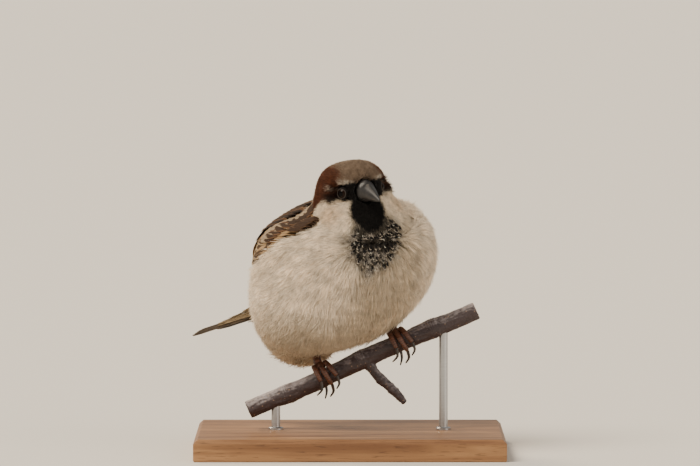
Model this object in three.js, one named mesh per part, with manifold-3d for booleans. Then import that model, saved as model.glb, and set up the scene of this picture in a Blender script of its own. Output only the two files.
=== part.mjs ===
// An adult male house sparrow, fluffed up and gripping a cut length of twig, held by a plain display
// stand. Millimetres, +Z up. The origin is the middle of the underside of the stand's base, and -Y is
// the side that the bird faces.
import * as THREE from "three";
import { mergeVertices } from "three/addons/utils/BufferGeometryUtils.js";
import Module from "manifold-3d";

const wasm = await Module();
wasm.setup();

// ---------------------------------------------------------------- driving dimensions

const GAP = 0.3;
const SOCKET_GAP = 0.4;

const BASE = { length: 112, depth: 86, height: 8, chamfer: 1.5 };
const ROD = { radius: 1.6, sunk: 5, lowX: -27, highX: 34, sides: 16 };

const PERCH = {
  radius: 3.3,
  slope: THREE.MathUtils.degToRad(24),
  middleX: 4.7,
  middleZ: 33.4,
  lowX: -37,
  highX: 46,
};
const SIDE_TWIG = { rootX: 5.5, tipX: 20, tipZ: 18, radius: 2.1, tipRadius: 1.1 };

// The trunk, neck and head are blended ellipsoids. Each row is its middle, forward, to the left and up
// in its own frame, and then its three radii in the same order.
const TRUNK = {
  middle: [-2.5, 3, 63],
  yaw: 25,
  pitch: 0,
  roll: 24,
  ellipsoids: [
    { name: "breast", at: [9, 3, 5], radii: [22, 27, 22] },
    { name: "belly", at: [0, 0, -3], radii: [27, 31, 20.2] },
    { name: "back", at: [-7, 0, 10], radii: [24, 26, 19] },
    { name: "flank_right", at: [-3, -14, -1], radii: [24, 20, 19] },
    { name: "flank_left", at: [-1, 15, 2], radii: [24, 21.5, 20] },
    { name: "shoulder_right", at: [-5, -12, 12], radii: [17, 15, 16] },
    { name: "shoulder_left", at: [6, 16, 7], radii: [16, 16, 15] },
    { name: "vent", at: [-15, -13, -9], radii: [17, 18, 17.5] },
    { name: "lower_back", at: [-18, -3, 4], radii: [17, 19, 15] },
    { name: "rump", at: [-25, -4, -2], radii: [15, 15, 12] },
    { name: "tail_root", at: [-33, -7, -8], radii: [12, 10, 7] },
    { name: "collar", at: [9, 9, 20], radii: [15, 15, 12] },
  ],
};
// The wings and tail keep nearly level, while the belly is pressed along the sloping perch.
const SHOULDERS = { middle: TRUNK.middle, yaw: 25, pitch: 0, roll: 2 };
const HEAD = {
  middle: [1.6, -9.5, 95.5],
  yaw: 24,
  pitch: 0,
  roll: 8,
  ellipsoids: [
    { name: "crown", at: [-1.8, 0, 3.2], radii: [9.8, 6.5, 5.8] },
    { name: "brow_right", at: [-1.8, -4.7, 3], radii: [9.2, 6.6, 6.5] },
    { name: "brow_left", at: [-1.8, 4.7, 3], radii: [9.2, 6.6, 6.5] },
    { name: "forehead", at: [4.6, 0, 2.4], radii: [5.8, 5.6, 6] },
    { name: "cheek_right", at: [-1.4, -5, -5.2], radii: [7.8, 6.4, 5.8] },
    { name: "cheek_left", at: [-1.4, 5, -5.2], radii: [7.8, 6.4, 5.8] },
    { name: "nape", at: [-6.5, 0, -3], radii: [8.6, 11.6, 9] },
    { name: "chin", at: [5, 0, -5.6], radii: [4.6, 4.4, 4.6] },
  ],
};
const BLEND = 2;

const EYE = { forward: 5.8, side: 6.6, up: 0.4, radius: 2.5, dishOut: 2.6, dishRadius: 3.4 };
const BILL = {
  base: [10, 0, -0.1],
  droop: 12,
  length: 11.8,
  sunk: 3,
  halfWidth: 3.6,
  culmenHeight: 4.4,
  lowerDepth: 3.2,
};

const WING = { thickness: 3.2, proud: 0.7 };
const TAIL = { length: 60, rootHalfWidth: 5, tipHalfWidth: 8.2, thickness: 2.4, yaw: 38, droop: 12 };
const LEG = { radius: 1.15 };
const TOE = { rootRadius: 0.95, tipRadius: 0.68, sides: 8 };
const CLAW = { radius: 0.52, tipRadius: 0.16, sides: 6 };

const COLOURS = {
  crown: 0x8a7c6c,
  breast: 0xcfc4b2,
  wing: 0x6b4630,
  tail: 0x4a3f33,
  bill: 0x3c3936,
  eye: 0x120d0a,
  leg: 0x7d4a3c,
  claw: 0x2c211c,
  bark: 0x4d444a,
  wood: 0x9c7650,
  steel: 0xb5b6b8,
};

// ---------------------------------------------------------------- frames and blended shapes

const vec = (x, y, z) => new THREE.Vector3(x, y, z);

// A frame whose +X is forward, +Y the bird's left and +Z up. Yaw turns the bird towards +X from
// looking along -Y, pitch lowers its nose and roll lifts its left side.
function birdFrame({ middle, yaw, pitch, roll }) {
  const turn = new THREE.Euler(
    THREE.MathUtils.degToRad(roll),
    THREE.MathUtils.degToRad(pitch),
    THREE.MathUtils.degToRad(yaw - 90),
    "ZYX",
  );
  return new THREE.Matrix4().makeRotationFromEuler(turn).setPosition(...middle);
}

const trunkFrame = birdFrame(TRUNK);
const shoulderFrame = birdFrame(SHOULDERS);
const headFrame = birdFrame(HEAD);
const inTrunk = (f, l, u) => vec(f, l, u).applyMatrix4(trunkFrame);
const inShoulders = (f, l, u) => vec(f, l, u).applyMatrix4(shoulderFrame);
const inHead = (f, l, u) => vec(f, l, u).applyMatrix4(headFrame);

// Roughly how far point p is outside one ellipsoid, negative inside it.
function ellipsoidDistance(p, { at, radii }) {
  const scaled = vec((p.x - at[0]) / radii[0], (p.y - at[1]) / radii[1], (p.z - at[2]) / radii[2]);
  const k0 = scaled.length();
  const k1 = vec(scaled.x / radii[0], scaled.y / radii[1], scaled.z / radii[2]).length();
  return k1 > 0 ? (k0 * (k0 - 1)) / k1 : -Math.min(...radii);
}

// The blended distance to a list of parts, each with the inverse of its frame and its ellipsoids.
function blendedDistance(parts) {
  const pieces = parts.map(({ frame, ellipsoids }) => ({ inverse: frame.clone().invert(), ellipsoids }));
  return (point) => {
    let sum = 0;
    for (const { inverse, ellipsoids } of pieces) {
      const local = point.clone().applyMatrix4(inverse);
      for (const ellipsoid of ellipsoids) sum += Math.exp(-ellipsoidDistance(local, ellipsoid) / BLEND);
    }
    return -BLEND * Math.log(sum);
  };
}

const trunkOnly = blendedDistance([{ frame: trunkFrame, ellipsoids: TRUNK.ellipsoids }]);
const wholeBird = blendedDistance([
  { frame: trunkFrame, ellipsoids: TRUNK.ellipsoids },
  { frame: headFrame, ellipsoids: HEAD.ellipsoids },
]);

// The outermost distance from centre, along direction, at which the shape grown by grow ends.
function reach(distance, centre, direction, furthest, grow) {
  const at = (t) => distance(centre.clone().addScaledVector(direction, t)) - grow;
  const step = 0.75;
  let outside = furthest;
  while (outside > step && at(outside - step) > 0) outside -= step;
  let inside = outside - step;
  for (let i = 0; i < 14; i += 1) {
    const middle = (inside + outside) / 2;
    if (at(middle) > 0) outside = middle;
    else inside = middle;
  }
  return inside;
}

// A closed surface round centre that follows a blended shape, as rays from centre meet it.
function starShape(distance, centre, detail, furthest, grow = 0) {
  const ball = new THREE.IcosahedronGeometry(1, detail);
  ball.deleteAttribute("normal");
  ball.deleteAttribute("uv");
  const merged = mergeVertices(ball, 1e-4);
  const position = merged.getAttribute("position");
  for (let i = 0; i < position.count; i += 1) {
    const direction = vec(position.getX(i), position.getY(i), position.getZ(i)).normalize();
    const far = reach(distance, centre, direction, furthest, grow);
    const point = centre.clone().addScaledVector(direction, far);
    position.setXYZ(i, point.x, point.y, point.z);
  }
  return merged;
}

// Moves point onto the trunk's surface, lifted by lift.
function settle(point, lift) {
  const p = point.clone();
  const h = 0.2;
  for (let i = 0; i < 6; i += 1) {
    const here = trunkOnly(p);
    const slope = vec(
      trunkOnly(p.clone().add(vec(h, 0, 0))) - here,
      trunkOnly(p.clone().add(vec(0, h, 0))) - here,
      trunkOnly(p.clone().add(vec(0, 0, h))) - here,
    ).divideScalar(h);
    p.addScaledVector(slope, (lift - here) / Math.max(slope.lengthSq(), 0.2));
  }
  return p;
}

// ---------------------------------------------------------------- solids

// A closed surface over a row of rings of equal count, each end closed by a fan.
function loft(rings) {
  const count = rings[0].length;
  const points = rings.flat();
  const index = [];
  for (let i = 0; i + 1 < rings.length; i += 1) {
    for (let j = 0; j < count; j += 1) {
      const a = i * count + j;
      const b = i * count + ((j + 1) % count);
      index.push(a, b, a + count, b, b + count, a + count);
    }
  }
  for (const [ring, first, out] of [
    [rings[0], 0, false],
    [rings.at(-1), (rings.length - 1) * count, true],
  ]) {
    const middle = ring.reduce((sum, p) => sum.add(p), vec(0, 0, 0)).divideScalar(count);
    const hub = points.push(middle) - 1;
    for (let j = 0; j < count; j += 1) {
      const a = first + j;
      const b = first + ((j + 1) % count);
      index.push(...(out ? [a, b, hub] : [b, a, hub]));
    }
  }
  const geometry = new THREE.BufferGeometry().setFromPoints(points);
  geometry.setIndex(index);
  return signedVolume(geometry) < 0 ? turnedOver(geometry) : geometry;
}

function signedVolume(geometry) {
  const position = geometry.getAttribute("position");
  const corner = (i) => vec(0, 0, 0).fromBufferAttribute(position, geometry.index.getX(i));
  let sum = 0;
  for (let i = 0; i < geometry.index.count; i += 3) {
    sum += corner(i).dot(corner(i + 1).cross(corner(i + 2)));
  }
  return sum / 6;
}

function turnedOver(geometry) {
  const index = Array.from(geometry.index.array);
  for (let i = 0; i < index.length; i += 3) [index[i + 1], index[i + 2]] = [index[i + 2], index[i + 1]];
  return geometry.clone().setIndex(index);
}

// A round tube through a list of points, its radius given at each of them.
function tube(path, radii, sides, steps, grow = 0) {
  const curve = new THREE.CatmullRomCurve3(path, false, "centripetal");
  const frames = curve.computeFrenetFrames(steps, false);
  const rings = [];
  for (let i = 0; i <= steps; i += 1) {
    const along = (i / steps) * (radii.length - 1);
    const k = Math.min(Math.floor(along), radii.length - 2);
    const radius = THREE.MathUtils.lerp(radii[k], radii[k + 1], along - k) + grow;
    const middle = curve.getPointAt(i / steps);
    if (grow > 0 && i === 0) middle.addScaledVector(frames.tangents[0], -grow);
    if (grow > 0 && i === steps) middle.addScaledVector(frames.tangents[steps], grow);
    rings.push(
      Array.from({ length: sides }, (_, j) => {
        const a = (j / sides) * 2 * Math.PI;
        return middle
          .clone()
          .addScaledVector(frames.normals[i], radius * Math.cos(a))
          .addScaledVector(frames.binormals[i], radius * Math.sin(a));
      }),
    );
  }
  return loft(rings);
}

// A manifold-3d solid from a closed geometry, and back.
function solid(geometry) {
  const bare = geometry.clone();
  bare.deleteAttribute("normal");
  bare.deleteAttribute("uv");
  const merged = mergeVertices(bare, 1e-4);
  return new wasm.Manifold(
    new wasm.Mesh({
      numProp: 3,
      vertProperties: new Float32Array(merged.getAttribute("position").array),
      triVerts: new Uint32Array(merged.index.array),
    }),
  );
}

function geometryOf(manifold) {
  const mesh = manifold.getMesh();
  const geometry = new THREE.BufferGeometry();
  geometry.setAttribute("position", new THREE.BufferAttribute(new Float32Array(mesh.vertProperties), 3));
  geometry.setIndex(new THREE.BufferAttribute(new Uint32Array(mesh.triVerts), 1));
  return geometry;
}

const largestBody = (manifold) => manifold.decompose().sort((a, b) => b.volume() - a.volume())[0];

// A big block that fills the side of a plane that its normal points to, starting gap beyond it.
function blockBeyond(point, normal, gap) {
  const size = 300;
  const block = new THREE.BoxGeometry(size, size, size);
  block.translate(0, 0, size / 2 + gap);
  block.applyQuaternion(new THREE.Quaternion().setFromUnitVectors(vec(0, 0, 1), normal));
  block.translate(point.x, point.y, point.z);
  return solid(block);
}

// ---------------------------------------------------------------- perch and stand

const perchPoint = (x) => vec(x, 0, PERCH.middleZ + (x - PERCH.middleX) * Math.tan(PERCH.slope));
const perchDirection = perchPoint(1).sub(perchPoint(0)).normalize();

// The twig is a little crooked and swells at each ring where a bud once grew.
function perchRadius(x) {
  const swelling = (middle, width, height) => height * Math.exp(-(((x - middle) / width) ** 2));
  return PERCH.radius + swelling(-24, 2.2, 0.5) + swelling(3.5, 3.2, 0.45) + swelling(30, 4, 0.45);
}

function perchSolid() {
  const sides = 12;
  const steps = 17;
  const rings = [];
  const across = vec(0, 1, 0);
  const upward = perchDirection.clone().cross(across).negate();
  for (let i = 0; i <= steps; i += 1) {
    const x = THREE.MathUtils.lerp(PERCH.lowX, PERCH.highX, i / steps);
    const middle = perchPoint(x);
    middle.z += 0.35 * Math.sin(x / 9);
    middle.y += 0.4 * Math.sin(x / 13 + 1);
    rings.push(
      Array.from({ length: sides }, (_, j) => {
        const a = (j / sides) * 2 * Math.PI;
        const radius = perchRadius(x) * (1 + 0.03 * Math.sin(3 * a + x / 5));
        return middle
          .clone()
          .addScaledVector(across, radius * Math.cos(a))
          .addScaledVector(upward, radius * Math.sin(a));
      }),
    );
  }
  return solid(loft(rings));
}

function sideTwigSolid() {
  const root = perchPoint(SIDE_TWIG.rootX);
  const tip = vec(SIDE_TWIG.tipX, -3.5, SIDE_TWIG.tipZ);
  const path = [0, 0.35, 0.6, 0.8, 1].map((t) => root.clone().lerp(tip, t));
  path[1].z -= 1.2;
  path[2].z -= 0.4;
  const radii = [2.3, SIDE_TWIG.radius, 1.7, SIDE_TWIG.radius, 1.7, 1.95, 1.5, SIDE_TWIG.tipRadius];
  return solid(tube(path, radii, 8, 12));
}

function rodSolid(x, grow) {
  const top = perchPoint(x).z;
  const bottom = BASE.height - ROD.sunk - grow;
  const radius = ROD.radius + grow;
  const rod = new THREE.CylinderGeometry(radius, radius, top - bottom + grow, ROD.sides);
  rod.rotateX(Math.PI / 2);
  rod.translate(x, 0, (top + grow + bottom) / 2);
  return solid(rod);
}

function baseSolid() {
  const corner = (inset, z) =>
    [
      [-1, -1],
      [1, -1],
      [1, 1],
      [-1, 1],
    ].map(([sx, sy]) => vec(sx * (BASE.length / 2 - inset), sy * (BASE.depth / 2 - inset), z));
  return solid(
    loft([
      corner(0.4, 0),
      corner(0, 0.4),
      corner(0, BASE.height - BASE.chamfer),
      corner(BASE.chamfer, BASE.height),
    ]),
  );
}

// ---------------------------------------------------------------- bill and eyes

const billTilt = new THREE.Matrix4()
  .makeRotationY(THREE.MathUtils.degToRad(BILL.droop))
  .setPosition(...BILL.base);
const inBill = (f, l, u) => vec(f, l, u).applyMatrix4(billTilt).applyMatrix4(headFrame);

// One mandible. It is an arch over the line where the bill shuts: side is 1 for the upper, -1 for the lower.
function mandible(side, height, length, grow = 0) {
  const stations = 8;
  const arch = 8;
  const rings = [];
  for (let i = 0; i <= stations; i += 1) {
    const t = i / stations;
    const forward = THREE.MathUtils.lerp(-BILL.sunk - grow, length + grow, t);
    const s = Math.max(forward, 0) / length;
    const taper = Math.sqrt(Math.max(1 - s, 0)) * (1 - 0.35 * s) + 0.06;
    const wide = BILL.halfWidth * Math.min(taper, 1) ** 1.15 + grow;
    const tall = height * Math.min(taper, 1) + 2 * grow;
    const shut = -0.6 * s * s;
    const ring = [];
    for (let j = 0; j <= arch; j += 1) {
      const a = (j / arch) * Math.PI;
      const rise = tall * Math.sin(a) ** 0.85;
      ring.push(inBill(forward, wide * Math.cos(a), shut + side * (GAP / 2 - grow + rise)));
    }
    rings.push(ring);
  }
  return solid(loft(rings));
}

const upperBill = (grow) => mandible(1, BILL.culmenHeight, BILL.length, grow);
const lowerBill = (grow) => mandible(-1, BILL.lowerDepth, BILL.length - 1, grow);

function ballAt(middle, radius) {
  const ball = new THREE.IcosahedronGeometry(radius, 2);
  ball.translate(middle.x, middle.y, middle.z);
  return solid(ball);
}

const eyeSolid = (side, grow) => ballAt(inHead(EYE.forward, side * EYE.side, EYE.up), EYE.radius + grow);

// The shallow dish in the head's feathers that the eye looks out of.
function eyeDish(side) {
  const forward = EYE.forward + 0.42 * EYE.dishOut;
  const left = side * (EYE.side + 0.9 * EYE.dishOut);
  return ballAt(inHead(forward, left, EYE.up), EYE.dishRadius);
}

// ---------------------------------------------------------------- wings and tail

// The folded wing's middle line on the bird's left, from the bend of the wing to the wing's tip, with
// half the width of the wing at each point.
// Behind sway.from, forward, both wings lean after the tail, which is held a little to the right.
const SWAY = { from: -16, slope: 0.27 };
const WING_LINE = [
  { at: [14, 18, 21.5], half: 3 },
  { at: [8, 22.5, 19], half: 7 },
  { at: [-1, 27, 14], half: 10 },
  { at: [-13, 28, 8], half: 11 },
  { at: [-26, 21, 1], half: 10 },
  { at: [-35, 14, -5], half: 7.5 },
];
const WING_TIP_LINE = [
  { at: [-33, 13.5, -5], half: 6 },
  { at: [-40, 10.2, -8.6], half: 4.8 },
  { at: [-46, 8, -11.3], half: 3.4 },
  { at: [-51.5, 6.2, -13.7], half: 1.5 },
];

// A curved plate along a line of points, which lies on the trunk where settled is true.
function plate(line, side, grow, { settled, thickness, steps, across }) {
  const curve = new THREE.CatmullRomCurve3(
    line.map(({ at: [f, l, u] }) => inShoulders(f, side * l + SWAY.slope * Math.min(f - SWAY.from, 0), u)),
  );
  const widths = new THREE.SplineCurve(line.map(({ half }, i) => new THREE.Vector2(i, half)));
  const rings = [];
  const trunkMiddle = inShoulders(-6, 0, 0);
  for (let i = 0; i <= steps; i += 1) {
    const t = i / steps;
    const middle = curve.getPoint(t);
    const along = curve.getTangent(t);
    if (grow > 0 && i === 0) middle.addScaledVector(along, -grow);
    if (grow > 0 && i === steps) middle.addScaledVector(along, grow);
    const half = widths.getPoint(t).y + grow;
    const out = settled ? middle.clone().sub(trunkMiddle) : inShoulders(0, side * 0.9, 0.45).sub(trunkMiddle);
    const wide = along.clone().cross(out).normalize();
    const outward = wide.clone().cross(along).normalize();
    const outer = [];
    const inner = [];
    for (let j = 0; j <= across; j += 1) {
      const w = (j / across) * 2 - 1;
      const spot = middle.clone().addScaledVector(wide, half * w);
      const crown = 1 - 0.75 * w ** 4;
      if (settled) {
        outer.push(settle(spot, WING.proud * crown + grow));
        inner.push(settle(spot, WING.proud - thickness * crown - grow));
      } else {
        outer.push(spot.clone().addScaledVector(outward, (thickness / 2) * crown + grow));
        inner.push(spot.clone().addScaledVector(outward, (-thickness / 2) * crown - grow));
      }
    }
    rings.push([...outer, ...inner.reverse()]);
  }
  return solid(loft(rings));
}

const wingSolid = (side, grow) =>
  plate(WING_LINE, side, grow, { settled: true, thickness: WING.thickness, steps: 16, across: 5 });
const wingTipSolid = (side, grow) =>
  plate(WING_TIP_LINE, side, grow, { settled: false, thickness: 1.8, steps: 7, across: 3 });

// The shut tail: a shallow roof of stacked feathers, narrow at the root and notched at the tip.
function tailSolid(grow) {
  const frame = birdFrame({
    middle: inShoulders(-31, -4, -11).toArray(),
    yaw: TAIL.yaw,
    pitch: -TAIL.droop,
    roll: SHOULDERS.roll + 12,
  });
  const stations = 10;
  const across = 6;
  const rings = [];
  for (let i = 0; i <= stations; i += 1) {
    const t = i / stations;
    const half = THREE.MathUtils.lerp(TAIL.rootHalfWidth, TAIL.tipHalfWidth, t ** 0.8) + grow;
    const outer = [];
    const inner = [];
    for (let j = 0; j <= across; j += 1) {
      const w = (j / across) * 2 - 1;
      const notch = 1.8 * t * (1 - Math.abs(w));
      const back = -t * TAIL.length + notch + (i === 0 ? grow : 0) - (i === stations ? grow : 0);
      const roof = -1.6 * w * w;
      const thick = TAIL.thickness * (1 - 0.55 * t) * (1 - 0.45 * Math.abs(w)) * 0.5;
      outer.push(vec(back, half * w, roof + thick + grow).applyMatrix4(frame));
      inner.push(vec(back, half * w, roof - thick - grow).applyMatrix4(frame));
    }
    rings.push([...outer, ...inner.reverse()]);
  }
  return solid(loft(rings));
}

// ---------------------------------------------------------------- legs, toes and claws

// A place on a foot: x along the perch from the foot's own x, then an angle round the perch from its
// top towards the front, and a height above the bark.
function onPerch(x, angle, height) {
  const a = THREE.MathUtils.degToRad(angle);
  const upward = vec(-perchDirection.z, 0, perchDirection.x);
  const radius = perchRadius(x) + 0.55 + height;
  return perchPoint(x)
    .addScaledVector(upward, radius * Math.cos(a))
    .addScaledVector(vec(0, -1, 0), radius * Math.sin(a));
}

const FEET = [
  { side: "right", x: -9.2, knee: [-14.5, 9, 44], spread: 1.0 },
  { side: "left", x: 18.2, knee: [14.5, 9, 54], spread: 1.0 },
];

// Each front toe starts beside its neighbour on the foot, and its claw leaves the bark and hooks back.
const FRONT_TOES = [
  { name: "inner", from: -1.9, to: -1.6, reach: 95, claw: -3.4 },
  { name: "middle", from: 0.1, to: 1.3, reach: 128, claw: -2.4 },
  { name: "outer", from: 2.1, to: 3.9, reach: 100, claw: -2.2 },
];

function frontToePath(foot, toe) {
  return [0, 0.25, 0.5, 0.75, 1].map((t) => {
    const x = foot.x + THREE.MathUtils.lerp(toe.from, toe.to, t) * foot.spread;
    return onPerch(x, THREE.MathUtils.lerp(8, toe.reach, t), TOE.rootRadius + 0.25 * Math.sin(Math.PI * t));
  });
}

function hindToePath(foot) {
  return [0, 0.33, 0.67, 1].map((t) => {
    const x = foot.x + THREE.MathUtils.lerp(0.2, -0.6, t);
    return onPerch(x, THREE.MathUtils.lerp(-24, -112, t), TOE.rootRadius + 0.2 * Math.sin(Math.PI * t));
  });
}

// A claw goes on from its toe's end and bends back under the perch, sideways by hook.
function clawPath(toePath, hook, size) {
  const end = toePath.at(-1);
  const along = end.clone().sub(toePath.at(-2)).normalize();
  const down = vec(0, 0, -1);
  const start = end.clone().addScaledVector(along, GAP + TOE.tipRadius * 0.2);
  const middle = start.clone().addScaledVector(along, size * 0.45).addScaledVector(down, size * 0.25);
  const tip = start.clone().addScaledVector(along, size * 0.55).addScaledVector(down, size * 0.62);
  tip.x += hook * 0.75;
  middle.x += hook * 0.18;
  return [start, middle, tip];
}

function legSolid(foot, grow) {
  const ankle = onPerch(foot.x - 0.2, -6, TOE.rootRadius + 0.9);
  const knee = vec(...foot.knee);
  const path = [ankle, ankle.clone().lerp(knee, 0.35), ankle.clone().lerp(knee, 0.7), knee];
  return solid(tube(path, [1.35, LEG.radius, LEG.radius, 1.3], 10, 8, grow));
}

const toeRadii = [TOE.rootRadius, TOE.rootRadius * 0.82, TOE.rootRadius * 0.95, TOE.tipRadius, TOE.tipRadius];
const toeSolid = (path, grow) => solid(tube(path, toeRadii, TOE.sides, 6, grow));
const clawRadii = [CLAW.radius, CLAW.radius * 0.8, CLAW.tipRadius];
const clawSolid = (path, grow) => solid(tube(path, clawRadii, CLAW.sides, 6, grow));

// ---------------------------------------------------------------- the whole model

const model = new THREE.Group();

function add(name, manifold, colour, roughness = 0.8, metalness = 0) {
  const material = new THREE.MeshStandardMaterial({ color: colour, roughness, metalness });
  const mesh = new THREE.Mesh(geometryOf(largestBody(manifold)), material);
  mesh.name = name;
  model.add(mesh);
}

// The flesh is modelled whole, and parted where the head joins the neck and the neck the trunk.
function addBody() {
  const trunkMiddle = inTrunk(-2, 0, 0);
  const headMiddle = inHead(0, 0, -1);
  const neckAxis = headMiddle.clone().sub(trunkMiddle).normalize();
  const headCut = headMiddle.clone().addScaledVector(neckAxis, -7.6);
  const neckCut = headMiddle.clone().addScaledVector(neckAxis, -14.5);
  const coarse = solid(starShape(wholeBird, trunkMiddle, 8, 62));
  const fine = solid(starShape(wholeBird, headMiddle, 5, 22));
  const grownWings = [-1, 1].flatMap((side) => [wingSolid(side, GAP), wingTipSolid(side, GAP)]);
  let head = fine.intersect(blockBeyond(headCut, neckAxis, GAP / 2));
  for (const side of [-1, 1]) head = head.subtract(eyeSolid(side, GAP)).subtract(eyeDish(side));
  head = head.subtract(upperBill(SOCKET_GAP)).subtract(lowerBill(SOCKET_GAP));
  const neck = coarse
    .subtract(blockBeyond(headCut, neckAxis, -GAP / 2))
    .intersect(blockBeyond(neckCut, neckAxis, GAP / 2));
  const trunk = coarse.subtract(blockBeyond(neckCut, neckAxis, -GAP / 2)).subtract(tailSolid(GAP));
  const clearOfWings = (piece) => grownWings.reduce((rest, wing) => rest.subtract(wing), piece);
  add("head", clearOfWings(head), COLOURS.crown);
  add("neck", clearOfWings(neck), COLOURS.breast);
  add("trunk", clearOfWings(trunk), COLOURS.breast);
}

function addFeathers() {
  const tail = tailSolid(0);
  for (const [name, side] of [
    ["right", -1],
    ["left", 1],
  ]) {
    add("wing_" + name, wingSolid(side, 0), COLOURS.wing);
    let tip = wingTipSolid(side, 0).subtract(wingSolid(side, GAP)).subtract(tailSolid(GAP));
    if (side === 1) tip = tip.subtract(wingTipSolid(-1, GAP));
    add("wing_tip_" + name, tip, COLOURS.tail);
  }
  add("tail", tail, COLOURS.tail);
}

function addHeadParts() {
  add("bill_upper", upperBill(0), COLOURS.bill, 0.4);
  add("bill_lower", lowerBill(0), COLOURS.bill, 0.4);
  add("eye_right", eyeSolid(-1, 0), COLOURS.eye, 0.1);
  add("eye_left", eyeSolid(1, 0), COLOURS.eye, 0.1);
}

function addFeet() {
  const grownTrunk = solid(starShape(wholeBird, inTrunk(-2, 0, 0), 8, 62, GAP));
  for (const foot of FEET) {
    const leg = legSolid(foot, 0).subtract(grownTrunk);
    const taken = [legSolid(foot, GAP)];
    add("leg_" + foot.side, leg, COLOURS.leg, 0.6);
    const toes = FRONT_TOES.map((toe) => ({ name: toe.name, path: frontToePath(foot, toe), hook: toe.claw }));
    toes.push({ name: "hind", path: hindToePath(foot), hook: -1.2 });
    for (const { name, path, hook } of toes) {
      const clear = (piece) => taken.reduce((rest, other) => rest.subtract(other), piece);
      const claws = clawPath(path, hook, name === "hind" ? 5.2 : 4.4);
      add("toe_" + name + "_" + foot.side, clear(toeSolid(path, 0)), COLOURS.leg, 0.6);
      taken.push(toeSolid(path, GAP));
      add("claw_" + name + "_" + foot.side, clear(clawSolid(claws, 0)), COLOURS.claw, 0.4);
      taken.push(clawSolid(claws, GAP));
    }
  }
}

function addPerchAndStand() {
  const perch = perchSolid().add(sideTwigSolid());
  const withHoles = (body) =>
    [ROD.lowX, ROD.highX].reduce((rest, x) => rest.subtract(rodSolid(x, GAP)), body);
  add("perch", withHoles(perch), COLOURS.bark);
  add("stand_base", withHoles(baseSolid()), COLOURS.wood, 0.5);
  add("stand_rod_low", rodSolid(ROD.lowX, 0), COLOURS.steel, 0.35, 1);
  add("stand_rod_high", rodSolid(ROD.highX, 0), COLOURS.steel, 0.35, 1);
}

addBody();
addFeathers();
addHeadParts();
addFeet();
addPerchAndStand();

export default model;
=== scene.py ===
import math

import bmesh
import bpy
import numpy as np
from mathutils import Euler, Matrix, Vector, noise
from mathutils.bvhtree import BVHTree


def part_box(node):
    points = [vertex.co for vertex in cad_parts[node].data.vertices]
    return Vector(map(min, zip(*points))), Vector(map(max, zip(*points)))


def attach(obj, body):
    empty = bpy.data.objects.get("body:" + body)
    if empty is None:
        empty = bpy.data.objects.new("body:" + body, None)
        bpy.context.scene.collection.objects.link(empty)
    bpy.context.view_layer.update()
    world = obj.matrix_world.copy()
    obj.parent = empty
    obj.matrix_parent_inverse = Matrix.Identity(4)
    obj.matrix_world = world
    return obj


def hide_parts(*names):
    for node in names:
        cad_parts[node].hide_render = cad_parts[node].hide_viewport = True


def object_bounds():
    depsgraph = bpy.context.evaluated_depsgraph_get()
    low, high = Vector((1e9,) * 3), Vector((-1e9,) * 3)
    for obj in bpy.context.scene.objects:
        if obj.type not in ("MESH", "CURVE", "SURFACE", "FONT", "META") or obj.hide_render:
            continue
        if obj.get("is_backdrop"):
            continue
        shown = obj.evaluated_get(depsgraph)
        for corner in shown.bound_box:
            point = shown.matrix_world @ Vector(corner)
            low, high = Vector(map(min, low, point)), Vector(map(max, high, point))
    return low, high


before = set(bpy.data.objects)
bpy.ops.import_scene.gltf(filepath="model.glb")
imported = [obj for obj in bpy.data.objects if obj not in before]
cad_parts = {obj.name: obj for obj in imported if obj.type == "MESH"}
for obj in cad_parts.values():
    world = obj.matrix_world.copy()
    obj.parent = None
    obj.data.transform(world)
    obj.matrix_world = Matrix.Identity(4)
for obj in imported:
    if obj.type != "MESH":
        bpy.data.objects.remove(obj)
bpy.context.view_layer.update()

# ---------------------------------------------------------------- camera, floor and light
# A museum model on a pale studio floor. A long lens looks a little down at it. A broad lamp high on
# the left lights the breast, one behind rims the crown and back, and a weak one fills the right.

MM = 0.001
VIEW = {"target": (0, 0, 79.64), "elevation": 3, "distance": 2000, "lens": 282.9}
LAMPS = [
    # name, direction that the light comes from, angle of softness in degrees, strength, sRGB colour
    ("lamp_key", (-0.7, -0.55, 1.0), 35, 3.7, "fff1dd"),
    ("lamp_rim", (-0.6, 0.8, 1.0), 15, 1.5, "ffe4c2"),
    ("lamp_side", (1.0, -0.7, 0.45), 45, 0.85, "fff3e4"),
]


def linear(colour):
    """An sRGB hex colour as linear red, green and blue."""
    channels = np.array([int(colour[i : i + 2], 16) for i in (0, 2, 4)]) / 255
    low = channels / 12.92
    high = ((channels + 0.055) / 1.055) ** 2.4
    return np.where(channels <= 0.04045, low, high)


def rgba(colour):
    return (*linear(colour), 1.0)


def add_node(material, kind, sockets=None, **settings):
    """Adds a shader node. Its sockets are set to numbers and colours, or linked from other nodes."""
    made = material.node_tree.nodes.new("ShaderNode" + kind)
    for key, value in settings.items():
        setattr(made, key, value)
    for socket, value in (sockets or {}).items():
        if isinstance(value, bpy.types.Node):
            value = next(output for output in value.outputs if output.enabled)
        if isinstance(value, bpy.types.NodeSocket):
            material.node_tree.links.new(value, made.inputs[socket])
        else:
            made.inputs[socket].default_value = value
    return made


def blank_material(name):
    material = bpy.data.materials.new(name)
    material.use_nodes = True
    material.node_tree.nodes.clear()
    return material


def show_surface(material, shader, socket="Surface"):
    add_node(material, "OutputMaterial", {socket: shader})
    return material


def link_object(name, data):
    made = bpy.data.objects.new(name, data)
    bpy.context.scene.collection.objects.link(made)
    return made


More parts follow.
